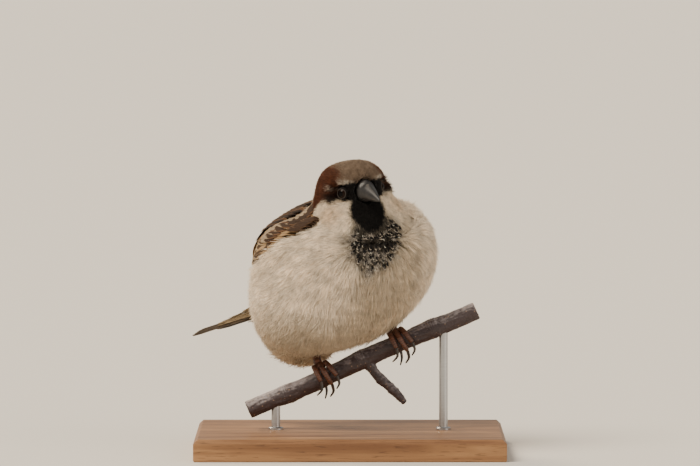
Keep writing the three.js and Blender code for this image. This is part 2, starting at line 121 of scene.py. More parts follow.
elevation = math.radians(VIEW["elevation"])
back = Vector((0, -math.cos(elevation), math.sin(elevation)))
camera = link_object("camera", bpy.data.cameras.new("camera"))
camera.data.lens = VIEW["lens"]
camera.data.sensor_width = 36
camera.data.clip_start = 0.05
camera.data.clip_end = 200
camera.location = Vector(VIEW["target"]) * MM + back * VIEW["distance"] * MM
camera.rotation_mode = "QUATERNION"
camera.rotation_quaternion = (-back).to_track_quat("-Z", "Y")
bpy.context.scene.camera = camera

for name, source, softness, strength, colour in LAMPS:
    lamp = link_object(name, bpy.data.lights.new(name, "SUN"))
    lamp.data.angle = math.radians(softness)
    lamp.data.energy = strength
    lamp.data.color = linear(colour)
    lamp.rotation_mode = "QUATERNION"
    lamp.rotation_quaternion = Vector(source).to_track_quat("Z", "Y")

world = bpy.data.worlds.new("studio")
world.use_nodes = True
world.node_tree.nodes["Background"].inputs["Color"].default_value = rgba("f3efe8")
world.node_tree.nodes["Background"].inputs["Strength"].default_value = 0.5
bpy.context.scene.world = world


def painted_floor():
    """Matt pale floor paint, faintly uneven."""
    material = blank_material("floor_paint")
    mottle = add_node(material, "TexNoise", {"Scale": 3.0, "Detail": 3.0})
    tone = add_node(
        material, "Mix", {"A": rgba("dedad2"), "B": rgba("e6e2da"), "Factor": mottle}, data_type="RGBA"
    )
    paint = add_node(material, "BsdfPrincipled", {"Roughness": 0.9, "Base Color": tone})
    return show_surface(material, paint)


FLOOR_HALF = 60
floor_mesh = bpy.data.meshes.new("floor")
floor_mesh.from_pydata(
    [(x * FLOOR_HALF, y * FLOOR_HALF, 0) for x, y in ((-1, -1), (1, -1), (1, 1), (-1, 1))], [],
    [(0, 1, 2, 3)],
)
floor_mesh.materials.append(painted_floor())
floor = link_object("floor", floor_mesh)
floor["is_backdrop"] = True

# ---------------------------------------------------------------- skin
# The bird's skin, one closed surface from bill to tail root under the plumage. It is thin and soft,
# pinkish where it is bare, and here it carries the plumage's markings in painted shade, so that no gap
# shows light.

FLESH = ("head", "neck", "trunk", "wing_right", "wing_left")
SKIN_GROW = 0.5
SKIN_VOXEL = 0.9
BODY_COAT = 2.7
FACE_COAT = 0.35
NAPE_COAT_MORE = 0.95
BILL_ROOT = np.array([4.5, 0, -0.5])
EYE_AHEAD = 0.55
EYE_LIFT = 0.02
SOCKET = {"floor": 1.74, "flat": 2.0, "slope": 0.15, "edge": (4.2, 3.0)}
BODY_MIDDLE = np.array([-2.5, 3.0, 63.0])
BODY_YAW = math.radians(25)
PLUMAGE = {
    "crown": "7c6a59",
    "chestnut": "56301d",
    "mask": "0e0b0a",
    "brow": "ddd2c2",
    "cheek": "ead7bd",
    "cheek_shade": "c3a27c",
    "collar": "f4e8d3",
    "bib": "0b0908",
    "breast": "d6c6ae",
    "flank": "f0e2cd",
    # The belly's tone is partly its own duller buff and partly painted shade, laid darker towards the
    # bottom.
    "belly": "bfb29d",
    "vent": "cfc2ae",
    "nape": "75665a",
    "mantle": "5a3922",
    "rump": "6f5f4a",
    "fringe": "d9cfc2",
}


def unit(v):
    return v / np.maximum(np.linalg.norm(v, axis=-1, keepdims=True), 1e-9)


def middle_of(node):
    low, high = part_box(node)
    return (np.array(low) + np.array(high)) / 2 / MM


up_world = np.array([0.0, 0.0, 1.0])
SIDES = {"right": -1, "left": 1}
eye_middles = {side: middle_of("eye_" + side) for side in SIDES}
head_middle = (eye_middles["right"] + eye_middles["left"]) / 2
head_left = unit(eye_middles["left"] - eye_middles["right"])
head_forward = unit(np.cross(head_left, up_world))
HEAD_AXES = np.stack([head_forward, head_left, np.cross(head_forward, head_left)])
BODY_AXES = np.stack(
    [[math.sin(BODY_YAW), -math.cos(BODY_YAW), 0], [math.cos(BODY_YAW), math.sin(BODY_YAW), 0], up_world]
)


def in_head(points):
    """Points in the head's frame: forward, left and up from midway between the eyes."""
    return (points - head_middle) @ HEAD_AXES.T


def in_body(points):
    """Points in the body's frame: forward, left and up from the trunk's middle."""
    return (points - BODY_MIDDLE) @ BODY_AXES.T


def from_head(local):
    return head_middle + np.asarray(local, float) @ HEAD_AXES


def from_body(local):
    return BODY_MIDDLE + np.asarray(local, float) @ BODY_AXES


def rise(x, low, high):
    """0 below low, 1 above high, and smooth between. With high below low it falls instead."""
    t = np.clip((x - low) / (high - low), 0, 1)
    return t * t * (3 - 2 * t)


def head_share(points):
    """1 on the head, 0 on the body."""
    from_nape = np.linalg.norm(in_head(points) - np.array([-6, 0, -2]), axis=-1)
    return rise(from_nape, 20, 14)


def bib_share(points):
    """1 in the solid black of the bib, from the chin to the throat."""
    f, l, u = in_head(points).T
    half = np.interp(u, [-15.5, -13, -10, -6, -2.5, -1], [2.2, 4.4, 6.0, 6.0, 5.0, 4.0])
    inside = rise(np.abs(l + 0.4), half + 0.5, half - 0.5)
    return inside * rise(f, -1, 1) * rise(u, -0.4, -1.4) * rise(u, -16.0, -14.6)


def mottle_share(points):
    """1 where the breast's black feathers still have pale fringes, in a patch under the bib."""
    f, l, u = in_body(points).T
    middle = np.interp(u, [3.7, 11, 17, 21], [-4, -0.9, 1.2, 2])
    half = np.interp(u, [2.5, 3.7, 11, 17, 21, 22], [0, 1.2, 6.6, 9.0, 7.6, 6.0])
    inside = rise(np.abs(l - middle), half + 1.8, half - 1.2)
    return inside * rise(f, 8, 12) * rise(u, 1.5, 4.5) * rise(u, 24, 23) * (1 - bib_share(points))


def markings(points):
    """The plumage's colour at each point, as linear RGB. Skin and coat both take it from here."""
    bf, bl, bu = in_body(points).T
    hf, hl, hu = in_head(points).T
    side = np.abs(hl)
    colour = np.tile(linear(PLUMAGE["breast"]), (len(points), 1))

    def lay(name, share):
        colour[:] = colour + share[:, None] * (linear(PLUMAGE[name]) - colour)

    lay("flank", rise(np.abs(bl - 4), 7, 19) * rise(bu, -24, -6))
    # Partly painted shade: the belly is drawn darker and greyer towards the bottom of the body.
    lay("belly", rise(bu, -6, -22) * rise(bf, -14, 4) * 0.7)
    lay("vent", rise(bf, -12, -26) * rise(bu, 4, -8))
    lay("rump", rise(bf, -14, -24) * rise(bu, -19, -12))
    lay("mantle", rise(bf, 1, -5) * rise(bu, 6, 12) * rise(np.abs(bl), 27, 23))
    head = head_share(points)
    lay("collar", head)
    lay("nape", head * rise(hf, -8, -12) * rise(side, 15, 9))
    lay("cheek_shade", head * rise(np.hypot(hf + 2, hu + 8), 5, 1.5) * rise(side, 4, 6) * 0.7)
    lay("cheek", head * rise(hf, -9, -7) * rise(hu, -13, -11) * 0.5)
    lower_edge = np.interp(hf, [-13, -10, -7, -3, 2], [-6.5, -6.5, -3.0, -2.2, -2.6])
    lay("chestnut", head * rise(hu, lower_edge - 0.5, lower_edge + 0.5) * rise(hf, -15, -13))
    lay("nape", head * rise(hf, -10, -13) * rise(side, 8, 5.5))
    cap = rise(side, 7.0, 5.6) * rise(hu, 1.0, 3.0)
    front = rise(hf, -0.8, 1.2) * rise(hu, 2.8, 3.8)
    lay("crown", head * np.maximum(cap, front))
    brow = rise(np.abs(hu - 4.1 + 0.15 * hf), 0.6, 0.2) * rise(hf, -0.4, 0.6) * rise(hf, 4.4, 3.0)
    lay("brow", head * brow * rise(side, 2.6, 3.6) * 0.7)
    mask = rise(hf, -3.6, -1.6) * rise(hu, -3.2, -2.4) * rise(hu, 3.8, 3.2)
    lay("mask", head * mask)
    behind_eye = rise(hf, -7.5, -4) * rise(hf, -1, -2) * rise(hu, -3.4, -2.4) * rise(hu, 1.5, -0.5)
    lay("mask", head * behind_eye * 0.7)
    lay("brow", head * rise(np.hypot(hf + 3.4, hu - 2.3), 0.9, 0.4) * rise(side, 4, 6) * 0.45)
    lay("bib", bib_share(points))
    lay("bib", mottle_share(points) * 0.9)
    return colour


def corners_of(mesh):
    """A bmesh's triangles, each as the numbers of its three vertices."""
    return np.array([[v.index for v in face.verts] for face in mesh.faces])


def node_surface(node, grow=0.0):
    """A CAD node's vertices in millimetres, moved outward by grow, and its triangles."""
    mesh = bmesh.new()
    mesh.from_mesh(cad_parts[node].data)
    bmesh.ops.remove_doubles(mesh, verts=mesh.verts, dist=1e-6)
    bmesh.ops.triangulate(mesh, faces=mesh.faces)
    mesh.normal_update()
    vertices = np.array([v.co / MM + v.normal * grow for v in mesh.verts])
    triangles = corners_of(mesh)
    mesh.free()
    return vertices, triangles


def joined_surface(nodes, grow=0.0):
    """Several CAD nodes as one set of vertices and triangles."""
    vertices = []
    triangles = []
    count = 0
    for node in nodes:
        points, faces = node_surface(node, grow)
        vertices.append(points)
        triangles.append(faces + count)
        count += len(points)
    return np.concatenate(vertices), np.concatenate(triangles)


def new_mesh(name, vertices, triangles, smooth=True):
    """A mesh from vertices in millimetres and triangles, made in bulk."""
    mesh = bpy.data.meshes.new(name)
    mesh.vertices.add(len(vertices))
    mesh.vertices.foreach_set("co", (np.asarray(vertices, np.float64) * MM).astype(np.float32).ravel())
    mesh.loops.add(3 * len(triangles))
    mesh.loops.foreach_set("vertex_index", np.asarray(triangles, np.int32).ravel())
    mesh.polygons.add(len(triangles))
    mesh.polygons.foreach_set("loop_start", np.arange(0, 3 * len(triangles), 3, dtype=np.int32))
    mesh.polygons.foreach_set("use_smooth", np.full(len(triangles), smooth))
    mesh.update(calc_edges=True)
    return mesh


def facing_out(vertices, triangles):
    """A closed shape's triangles, turned over if they face inward."""
    a, b, c = (vertices[triangles[:, k]] - vertices.mean(axis=0) for k in range(3))
    return triangles if np.sum(a * np.cross(b, c)) > 0 else triangles[:, ::-1]


def add_colours(mesh, name, colours):
    """Stores linear RGB for each vertex, which a material reads by name."""
    layer = mesh.color_attributes.new(name, "FLOAT_COLOR", "POINT")
    full = np.ones((len(colours), 4), np.float32)
    full[:, :3] = colours
    layer.data.foreach_set("color", full.ravel())


def remeshed(nodes, voxel, grow, smoothing, keep_largest=True, extra=None):
    """The nodes, and an extra closed shape, fused into one smooth surface in millimetres."""
    vertices, triangles = joined_surface(nodes, grow)
    if extra:
        triangles = np.concatenate([triangles, extra[1] + len(vertices)])
        vertices = np.concatenate([vertices, extra[0]])
    source = link_object("source", new_mesh("source", vertices, triangles))
    modifier = source.modifiers.new("fuse", "REMESH")
    modifier.mode = "VOXEL"
    modifier.voxel_size = voxel * MM
    smoother = source.modifiers.new("smooth", "SMOOTH")
    smoother.factor = 0.5
    smoother.iterations = smoothing
    made = bpy.data.meshes.new_from_object(source.evaluated_get(bpy.context.evaluated_depsgraph_get()))
    fused = bmesh.new()
    fused.from_mesh(made)
    bmesh.ops.triangulate(fused, faces=fused.faces)
    if keep_largest:
        remove_islands(fused)
    fused.normal_update()
    points = np.array([v.co for v in fused.verts]) / MM
    normals = np.array([v.normal for v in fused.verts])
    faces = corners_of(fused)
    fused.free()
    bpy.data.meshes.remove(made)
    mesh = source.data
    bpy.data.objects.remove(source)
    bpy.data.meshes.remove(mesh)
    return points, normals, faces


def remove_islands(mesh):
    """Keeps only the largest connected body of a bmesh."""
    unseen = set(mesh.verts)
    islands = []
    while unseen:
        start = unseen.pop()
        island = {start}
        edge = [start]
        while edge:
            for link in edge.pop().link_edges:
                for vertex in link.verts:
                    if vertex in unseen:
                        unseen.remove(vertex)
                        island.add(vertex)
                        edge.append(vertex)
        islands.append(island)
    islands.sort(key=len)
    for island in islands[:-1]:
        bmesh.ops.delete(mesh, geom=list(island), context="VERTS")
    mesh.verts.index_update()


def from_bill_root(points):
    """How far points lie from the middle of the bill's root, in millimetres."""
    return np.linalg.norm(in_head(points) - BILL_ROOT, axis=-1)


def coat_depth(points):
    """How far the skin lies under the plumage's outline, in millimetres."""
    head = FACE_COAT + NAPE_COAT_MORE * rise(from_bill_root(points), 4, 12)
    return BODY_COAT + (head - BODY_COAT) * head_share(points)


# The nodes are grown so that they fuse, and the fused outline is drawn in again by as much.
outline, outline_normals, skin_faces = remeshed(FLESH, SKIN_VOXEL, SKIN_GROW, smoothing=6)
outline = outline - outline_normals * SKIN_GROW
skin_points = outline - outline_normals * coat_depth(outline)[:, None]


def eye_axis(side):
    """The way an eye looks: out to its side and a little ahead."""
    return unit(SIDES[side] * head_left + EYE_AHEAD * head_forward + EYE_LIFT * up_world)


def round_eye(points, side):
    """How far points lie out along an eye's axis, and how far across it."""
    out = eye_axis(side)
    away = points - eye_middles[side]
    along = away @ out
    return along, np.linalg.norm(away - along[:, None] * out, axis=-1)


def clear_of_eyes(points):
    """Sinks the skin round each eye so that the eyeball stands in a shallow socket."""
    moved = points.copy()
    for side in SIDES:
        along, across = round_eye(points, side)
        limit = SOCKET["floor"] + SOCKET["slope"] * np.maximum(across - SOCKET["flat"], 0)
        sink = np.where(along > 0, np.maximum(along - limit, 0), 0) * rise(across, *SOCKET["edge"])
        moved -= sink[:, None] * eye_axis(side)
    return moved


skin_points = clear_of_eyes(skin_points)


def skin_material():
    """Skin under down: matt, with painted shade that darkens its markings to the shadow between feathers,
    and a fine bumpy grain.
    """
    material = blank_material("downy_skin_painted_shade")
    marking = add_node(material, "Attribute", attribute_name="marking")
    place = add_node(material, "TexCoord").outputs["Object"]
    grain = add_node(material, "TexNoise", {"Scale": 1 / (0.7 * MM), "Detail": 3.0, "Vector": place})
    # Painted shade: the markings are darkened to between 0.45 and 0.75 of their tone, varied by a fine
    # grain.
    shade = add_node(
        material, "MapRange",
        {"From Min": 0.3, "From Max": 0.7, "To Min": 0.45, "To Max": 0.75, "Value": grain},
    )
    colour = add_node(material, "VectorMath", {0: marking, "Scale": shade}, operation="SCALE")
    bump = add_node(material, "Bump", {"Strength": 0.5, "Distance": 0.2 * MM, "Height": grain})
    skin = add_node(
        material, "BsdfPrincipled", {"Roughness": 0.85, "IOR": 1.45, "Base Color": colour, "Normal": bump}
    )
    return show_surface(material, skin)


def add_piece(name, mesh, material, replaced=()):
    """Links a mesh as a visible piece that rides on the model's one body."""
    mesh.materials.append(material)
    piece = link_object(name, mesh)
    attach(piece, "root")
    if replaced:
        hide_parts(*replaced)
    return piece


skin_mesh = new_mesh("skin", skin_points, skin_faces)
add_colours(skin_mesh, "marking", markings(skin_points))
add_piece("skin", skin_mesh, skin_material(), FLESH)

# ---------------------------------------------------------------- wings
# Folded wings: flight feathers of stiff keratin laid like a closed fan, with rows of coverts over
# their roots. The median coverts' pale tips make the wing bar. Flank down covers the lower edge.

WING_BEND = np.array([14, 18, 21.5])
WING_END = np.array([-57, 4.5, -16])
WING_OUT = np.array([0, 0.82, 0.57])
SWAY = {"from": -16, "slope": 0.27}
WING_REACH = 60
WIDEST_GAP = 12
FEATHER_STEPS = 14
VANE_THICKNESS = 0.12
SEED = 7
rng = np.random.default_rng(SEED)


class WingChart:
    """Places on one wing: s from the bend towards the tip and t up its face, both in millimetres."""

    def __init__(self, sign, surface, shown_from):
        mirror = np.array([1, sign, 1])
        lean = np.array([0, SWAY["slope"] * (WING_END[0] - SWAY["from"]), 0])
        self.sign = sign
        self.surface = surface
        self.shown_from = shown_from
        self.start = from_body(WING_BEND * mirror)
        self.along = unit(from_body(WING_END * mirror + lean) - self.start)
        out = (WING_OUT * mirror) @ BODY_AXES
        self.out = unit(out - (out @ self.along) * self.along)
        self.up = np.cross(self.out, self.along) * sign

    def coordinates(self, points):
        away = points - self.start
        return away @ self.along, away @ self.up, away @ self.out

    def drop(self, s, t):
        """The place on the outline under (s, t) and its normal, or None beside the bird."""
        origin = self.start + self.along * s + self.up * t + self.out * WING_REACH
        hit, normal, _, _ = self.surface.ray_cast(Vector(origin), Vector(-self.out), 2 * WING_REACH)
        if hit is None:
            return None
        return np.array(hit), np.array(normal)

    def path(self, root, tip):
        """A feather's shaft laid on the outline from root to tip, with the outline's normals."""
        points = []
        normals = []
        for v in np.linspace(0, 1, FEATHER_STEPS + 1):
            s, t = np.array(root) * (1 - v) + np.array(tip) * v
            found = self.drop(s, t)
            if found is None or (points and np.linalg.norm(found[0] - points[-1]) > WIDEST_GAP):
                found = (2 * points[-1] - points[-2], normals[-1])
            points.append(found[0])
            normals.append(found[1])
        return smoothed(np.array(points)), unit(smoothed(np.array(normals)))


def smoothed(rows, times=4):
    """Rows of points or directions, evened out along their length with the ends kept."""
    for _ in range(times):
        rows = rows.copy()
        rows[1:-1] = 0.5 * rows[1:-1] + 0.25 * (rows[:-2] + rows[2:])
    return rows


def vane(points, normals, half, height, shape):
    """One feather's grid. Its columns run along the shaft and end on a rounded, slightly frayed tip."""
    v = np.linspace(0, 1, len(points))[:, None]
    x = np.linspace(-1, 1, shape["columns"] + 1)[None]
    ends = (1 - shape["round"] * np.abs(x) ** 2.4) * (1 + rng.normal(0, shape["fray"], x.shape))
    place = np.clip(v * ends, 0, 1) * (len(points) - 1)
    low = np.minimum(place.astype(int), len(points) - 2)
    share = (place - low)[..., None]
    middle = points[low] * (1 - share) + points[low + 1] * share
    facing = normals[low] * (1 - share) + normals[low + 1] * share
    tangent = unit(np.gradient(points, axis=0))
    side = unit(np.cross(normals, tangent))
    side = side[low] * (1 - share) + side[low + 1] * share
    width = half * (0.45 + 0.55 * rise(v, 0, 0.45)) * (1 - shape["taper"] * rise(v, 0.6, 1))
    across = (x + shape["lean"] * (1 - x * x)) * width
    across = across + rng.normal(0, 0.6 * shape["fray"] * half, x.shape) * rise(v, 0.5, 1)
    high = height + shape["lift"] * v**2 - shape["cup"] * x**2
    high = high + shape["ridge"] * np.exp(-((x / 0.12) ** 2)) - shape["sunk"] * rise(v, 0.3, 0)
    grid = middle + side * across[..., None] + facing * high[..., None]
    uv = np.stack(np.broadcast_arrays(x * 0.5 + 0.5, v), axis=-1)
    return grid, uv


def grid_faces(rows, columns):
    """Triangles over a grid of vertices, which are numbered row by row."""
    corner = (np.arange(rows)[:, None] * (columns + 1) + np.arange(columns)[None]).ravel()
    below = corner + columns + 1
    first = np.stack([corner, corner + 1, below], axis=1)
    second = np.stack([corner + 1, below + 1, below], axis=1)
    return np.concatenate([first, second])


def feather_piece(name, feathers, material, replaced=()):
    """Joins feathers, each its grid, map and tint, into one piece with a little thickness."""
    rows, columns = feathers[0][0].shape[:2]
    faces = grid_faces(rows - 1, columns - 1)
    vertices = np.concatenate([grid.reshape(-1, 3) for grid, _, _ in feathers])
    maps = np.concatenate([uv.reshape(-1, 2) for _, uv, _ in feathers])
    tints = np.concatenate([np.tile(tint, (rows * columns, 1)) for _, _, tint in feathers])
    triangles = np.concatenate([faces + k * rows * columns for k in range(len(feathers))])
    mesh = new_mesh(name, vertices, triangles)
    add_colours(mesh, "tint", tints)
    layer = mesh.uv_layers.new(name="vane")
    layer.data.foreach_set("uv", maps[triangles.ravel()].astype(np.float32).ravel())
    piece = add_piece(name, mesh, material, replaced)
    solid = piece.modifiers.new("thickness", "SOLIDIFY")
    solid.thickness = VANE_THICKNESS * MM
    solid.offset = -1
    return piece


def vane_material(name, centre, edge, edge_from, tip=None, tip_from=1.0, streak=None):
    """A feather's vane of keratin barbs: soft satin, with fine slanting barbs and a darker shaft."""
    material = blank_material(name)
    place = add_node(material, "UVMap", uv_map="vane")
    split = add_node(material, "SeparateXYZ", {0: place})
    centred = add_node(material, "Math", {1: 0.5, 0: split.outputs["X"]}, operation="SUBTRACT")
    across = add_node(material, "Math", {0: centred}, operation="ABSOLUTE")
    blur = add_node(material, "TexNoise", {"Scale": 9.0, "Detail": 3.0, "Vector": place})
    wobble = add_node(
        material, "MapRange",
        {"From Min": 0.3, "From Max": 0.7, "To Min": -0.05, "To Max": 0.05, "Value": blur},
    )
    edge_place = add_node(material, "Math", {0: across, 1: wobble}, operation="ADD")
    edge_share = add_node(
        material, "MapRange",
        {"From Min": edge_from - 0.05, "From Max": edge_from + 0.05, "Value": edge_place},
        interpolation_type="SMOOTHSTEP",
    )
    tip_place = add_node(material, "Math", {0: split.outputs["Y"], 1: wobble}, operation="ADD")
    tip_share = add_node(
        material, "MapRange",
        {"From Min": tip_from - 0.04, "From Max": tip_from + 0.04, "Value": tip_place},
        interpolation_type="SMOOTHSTEP",
    )
    body = add_node(
        material, "Mix", {"A": rgba(centre), "B": rgba(edge), "Factor": edge_share}, data_type="RGBA"
    )
    if streak:
        streak_share = add_node(
            material, "MapRange",
            {"From Min": 0.02, "From Max": -0.04, "To Min": 0.0, "To Max": 1.0, "Value": centred},
            interpolation_type="SMOOTHSTEP",
        )
        body = add_node(
            material, "Mix", {"B": rgba(streak), "Factor": streak_share, "A": body}, data_type="RGBA"
        )
    tipped = add_node(
        material, "Mix", {"B": rgba(tip or edge), "Factor": tip_share, "A": body}, data_type="RGBA"
    )
    shaft = add_node(
        material, "MapRange",
        {"From Min": 0.012, "From Max": 0.03, "To Min": 0.55, "To Max": 1.0, "Value": across},
    )
    slant = add_node(
        material, "Math", {1: 0.8, 2: split.outputs["Y"], 0: across}, operation="MULTIPLY_ADD"
    )
    # Real barbs are too fine to show, so about thirty coarser bands run along each vane.
    barb_wave = add_node(material, "Math", {1: 190.0, 0: slant}, operation="MULTIPLY")
    barbs = add_node(material, "Math", {0: barb_wave}, operation="SINE")
    barb_shade = add_node(
        material, "MapRange",
        {"From Min": -1.0, "From Max": 1.0, "To Min": 0.86, "To Max": 1.08, "Value": barbs},
    )
    tint = add_node(material, "Attribute", attribute_name="tint")
    tinted = add_node(material, "VectorMath", {0: tipped, 1: tint}, operation="MULTIPLY")
    shaded = add_node(material, "Math", {0: shaft, 1: barb_shade}, operation="MULTIPLY")
    colour = add_node(material, "VectorMath", {0: tinted, "Scale": shaded}, operation="SCALE")
    bump = add_node(material, "Bump", {"Strength": 0.25, "Distance": 0.08 * MM, "Height": barbs})
    keratin = add_node(
        material, "BsdfPrincipled",
        {
            "Roughness": 0.75, "IOR": 1.54, "Specular IOR Level": 0.12, "Base Color": colour,
            "Normal": bump,
        },
    )
    return show_surface(material, keratin)


VANE_MATERIALS = {
    # name, colour over the shaft, colour of the edge and where it begins across half the vane, then
    # colour of the tip and where it begins along the vane, and colour of the streak on one web
    "flight": vane_material("flight_feather_keratin", "33271f", "8f7352", 0.47),
    "tertial": vane_material("tertial_keratin", "2c2019", "94704a", 0.40, "a5855f", 0.95),
    "greater": vane_material("greater_covert_keratin", "4a3a2d", "a08462", 0.32, "b39c7b", 0.92),
    "median": vane_material("median_covert_keratin", "3b2c22", "6b4f3a", 0.40, "98866f", 0.76),
    "alula": vane_material("alula_keratin", "3a2a20", "55402f", 0.42, "5f4a38", 0.93),
    "mantle": vane_material("mantle_feather_keratin", "604531", "8f7454", 0.43, "7d5f44", 0.97, "2b211b"),
    "bib": vane_material("bib_feather_keratin", "0b0909", "3a342f", 0.45, "b5aa9c", 0.90),
    "tail": vane_material("tail_feather_keratin", "2f261e", "6e5b44", 0.475),
    "upper": vane_material("upper_tail_covert_keratin", "5d4e3c", "7a684e", 0.40, "8a775b", 0.92),
    # The under tail coverts keep darker centres, but they are all drawn dark brown as painted shade under
    # the tail.
    "under": vane_material("under_tail_covert_painted_shade", "43372b", "5e4e3d", 0.42, "6b5a47", 0.92),
}
# A vane's shape: the shaft's lean to one side, the tip's roundness and fraying, taper towards the tip,
# cupping across, lift of the tip, ridge of the shaft, how deep its root is sunk, and grid columns.
STIFF = {
    "lean": 0.28,
    "round": 0.10,
    "fray": 0.004,
    "taper": 0.45,
    "cup": 0.25,
    "lift": 0.0,
    "ridge": 0.10,
    "sunk": 0.5,
    "columns": 10,
}
SOFT = {
    "lean": 0.0,
    "round": 0.36,
    "fray": 0.045,
    "taper": 0.15,
    "cup": 0.25,
    "lift": 0.25,
    "ridge": 0.0,
    "sunk": 1.5,
    "columns": 6,
}
WING_ROWS = [
    # name, material, number, shape, then for the first and the last feather of the row:
    # roots and tips on the wing's chart, half widths, and heights against the outline
    ("primaries", "flight", 7, STIFF,
     ((26, -8), (28, -4)), ((62, -2.5), (54, 2)), (2.9, 3.4), (-1.5, -1.0)),
    ("secondaries", "flight", 5, STIFF,
     ((23, -5), (24, 2)), ((57, -0.5), (51, 5.5)), (3.4, 3.8), (-0.95, -0.6)),
    ("tertials", "tertial", 3, STIFF,
     ((20, 2), (24, 8)), ((54, 3), (42, 9)), (4.4, 4.4), (-0.45, -0.2)),
    ("primary_coverts", "flight", 5, STIFF,
     ((13, -11), (16, -8)), ((30, -10), (33, -7)), (1.9, 2.2), (-1.2, -1.0)),
    ("greater_coverts", "greater", 11, SOFT,
     ((3, 3.5), (15, -10)), ((14, 4), (29, -10)), (2.7, 3.1), (-0.5, -0.5)),
    ("median_coverts", "median", 10, SOFT,
     ((3, 8), (12, -4.5)), ((9.5, 8), (20, -4.5)), (2.4, 2.7), (-0.1, -0.1)),
    ("alula", "alula", 7, SOFT,
     ((0.5, 2.8), (3.5, -1.0)), ((6.5, 2.2), (9.5, -2.8)), (1.0, 1.2), (0.3, 0.3)),
]
tip_surface, tip_faces = joined_surface(("wing_tip_right", "wing_tip_left"))
laying_surface = BVHTree.FromPolygons(
    np.concatenate([outline, tip_surface]).tolist(),
    np.concatenate([skin_faces, tip_faces + len(outline)]).tolist(),
)
# The head turns over the left shoulder, where the breast's down covers the wing's front.
SHOWN_FROM = {"right": -4, "left": 13}
charts = {side: WingChart(sign, laying_surface, SHOWN_FROM[side]) for side, sign in SIDES.items()}


def on_wing(points):
    """1 on the part of either wing that shows above the flank's down."""
    shown = np.zeros(len(points))
    for chart in charts.values():
        s, t, out = chart.coordinates(points)
        low_edge = np.interp(s, [-5, 0.7, 19, 35, 60], [3, -0.5, -10.7, -13, -16])
        high_edge = np.interp(s, [-5, 8, 14, 25], [3, 8.5, 11, 15])
        inside = rise(t, low_edge - 0.7, low_edge + 0.7) * rise(t, high_edge + 1, high_edge - 1)
        ahead = rise(s, chart.shown_from, chart.shown_from + 2)
        shown = np.maximum(shown, inside * ahead * rise(out, -20, -14))
    return shown


def row_of_feathers(chart, number, shape, roots, tips, halves, heights):
    """Lays a row of overlapping feathers, from the lowest to the one nearest the back."""
    feathers = []
    shape = {**shape, "lean": shape["lean"] * chart.sign}
    for k in range(number):
        q = k / max(number - 1, 1)
        root = np.array(roots[0]) * (1 - q) + np.array(roots[1]) * q + rng.normal(0, 0.15, 2)
        tip = np.array(tips[0]) * (1 - q) + np.array(tips[1]) * q + rng.normal(0, 0.3, 2)
        if tip[0] < chart.shown_from + 3:
            continue
        points, normals = chart.path(root, tip)
        half = halves[0] * (1 - q) + halves[1] * q
        height = heights[0] * (1 - q) + heights[1] * q
        grid, uv = vane(points, normals, half, height, shape)
        feathers.append((grid, uv, np.ones(3) * rng.uniform(0.88, 1.1)))
    return feathers


for side, chart in charts.items():
    for name, kind, number, shape, row_roots, row_tips, halves, heights in WING_ROWS:
        feathers = row_of_feathers(chart, number, shape, row_roots, row_tips, halves, heights)
        if not feathers:
            continue
        replaced = ("wing_tip_" + side,) if name == "primaries" else ()
        feather_piece(name + "_" + side, feathers, VANE_MATERIALS[kind], replaced)

# ---------------------------------------------------------------- mantle and breast patch
# The back's contour feathers, chestnut with a dark streak on one web and tan edges, scattered close
# together over down from nape to rump. The breast's black feathers with pale tips are laid alike.

PATCH = 0.003
CONTOUR_STEPS = 8
PALE_SHARE = 0.16
PALER = np.array([1.35, 1.5, 1.6])
GREYER = np.array([0.66, 0.88, 1.2])
TRIED_SHARE = 0.9


def lie_of_coat(points, normals):
    """The direction in which the feathers lie: away from the bill, then down and back to the tail."""
    to_tail = unit(from_body([-40, 0, -20]) - from_body([0, 0, 0]) + np.array([0, 0, -16.0]))
    bill = from_head([6, 0, 1])
    from_bill = unit(points - bill)
    share = head_share(points)[:, None]
    lie = (1 - share) * to_tail + share * (0.75 * from_bill + 0.25 * to_tail)
    for side in SIDES:
        out = eye_axis(side)
        away = points - eye_middles[side]
        away = away - (away @ out)[:, None] * out
        near = rise(np.linalg.norm(away, axis=1), 4.5, 2.2)[:, None]
        inward = np.minimum(np.sum(lie * unit(away), axis=1, keepdims=True), 0)
        lie = lie + near * (0.25 - inward) * unit(away)
    lie = lie - np.sum(lie * normals, axis=1, keepdims=True) * normals
    return unit(lie)


def unwrapped(points):
    """Each point's place on an unwrap of the skin: head above, body below, each by its own sphere."""
    share = head_share(points) > 0.5
    local = np.where(share[:, None], in_head(points) + np.array([6, 0, 3]), in_body(points))
    turn = np.arctan2(local[:, 1], local[:, 0]) / (2 * math.pi) + 0.5
    tall = local[:, 2] / np.linalg.norm(local, axis=1) / 2 + 0.5
    v = np.where(share, 0.70 + 0.28 * tall, 0.02 + 0.64 * tall)
    return np.stack([0.02 + 0.95 * turn, v], axis=1)


def lay_patches(mesh, places):
    """Stores the bake's map, a small patch for each tuft, from each vertex's place."""
    triangles = np.empty(len(mesh.loops), np.int32)
    mesh.loops.foreach_get("vertex_index", triangles)
    layer = mesh.uv_layers.new(name="OFBake")
    layer.data.foreach_set("uv", places.reshape(-1, 2)[triangles].astype(np.float32).ravel())


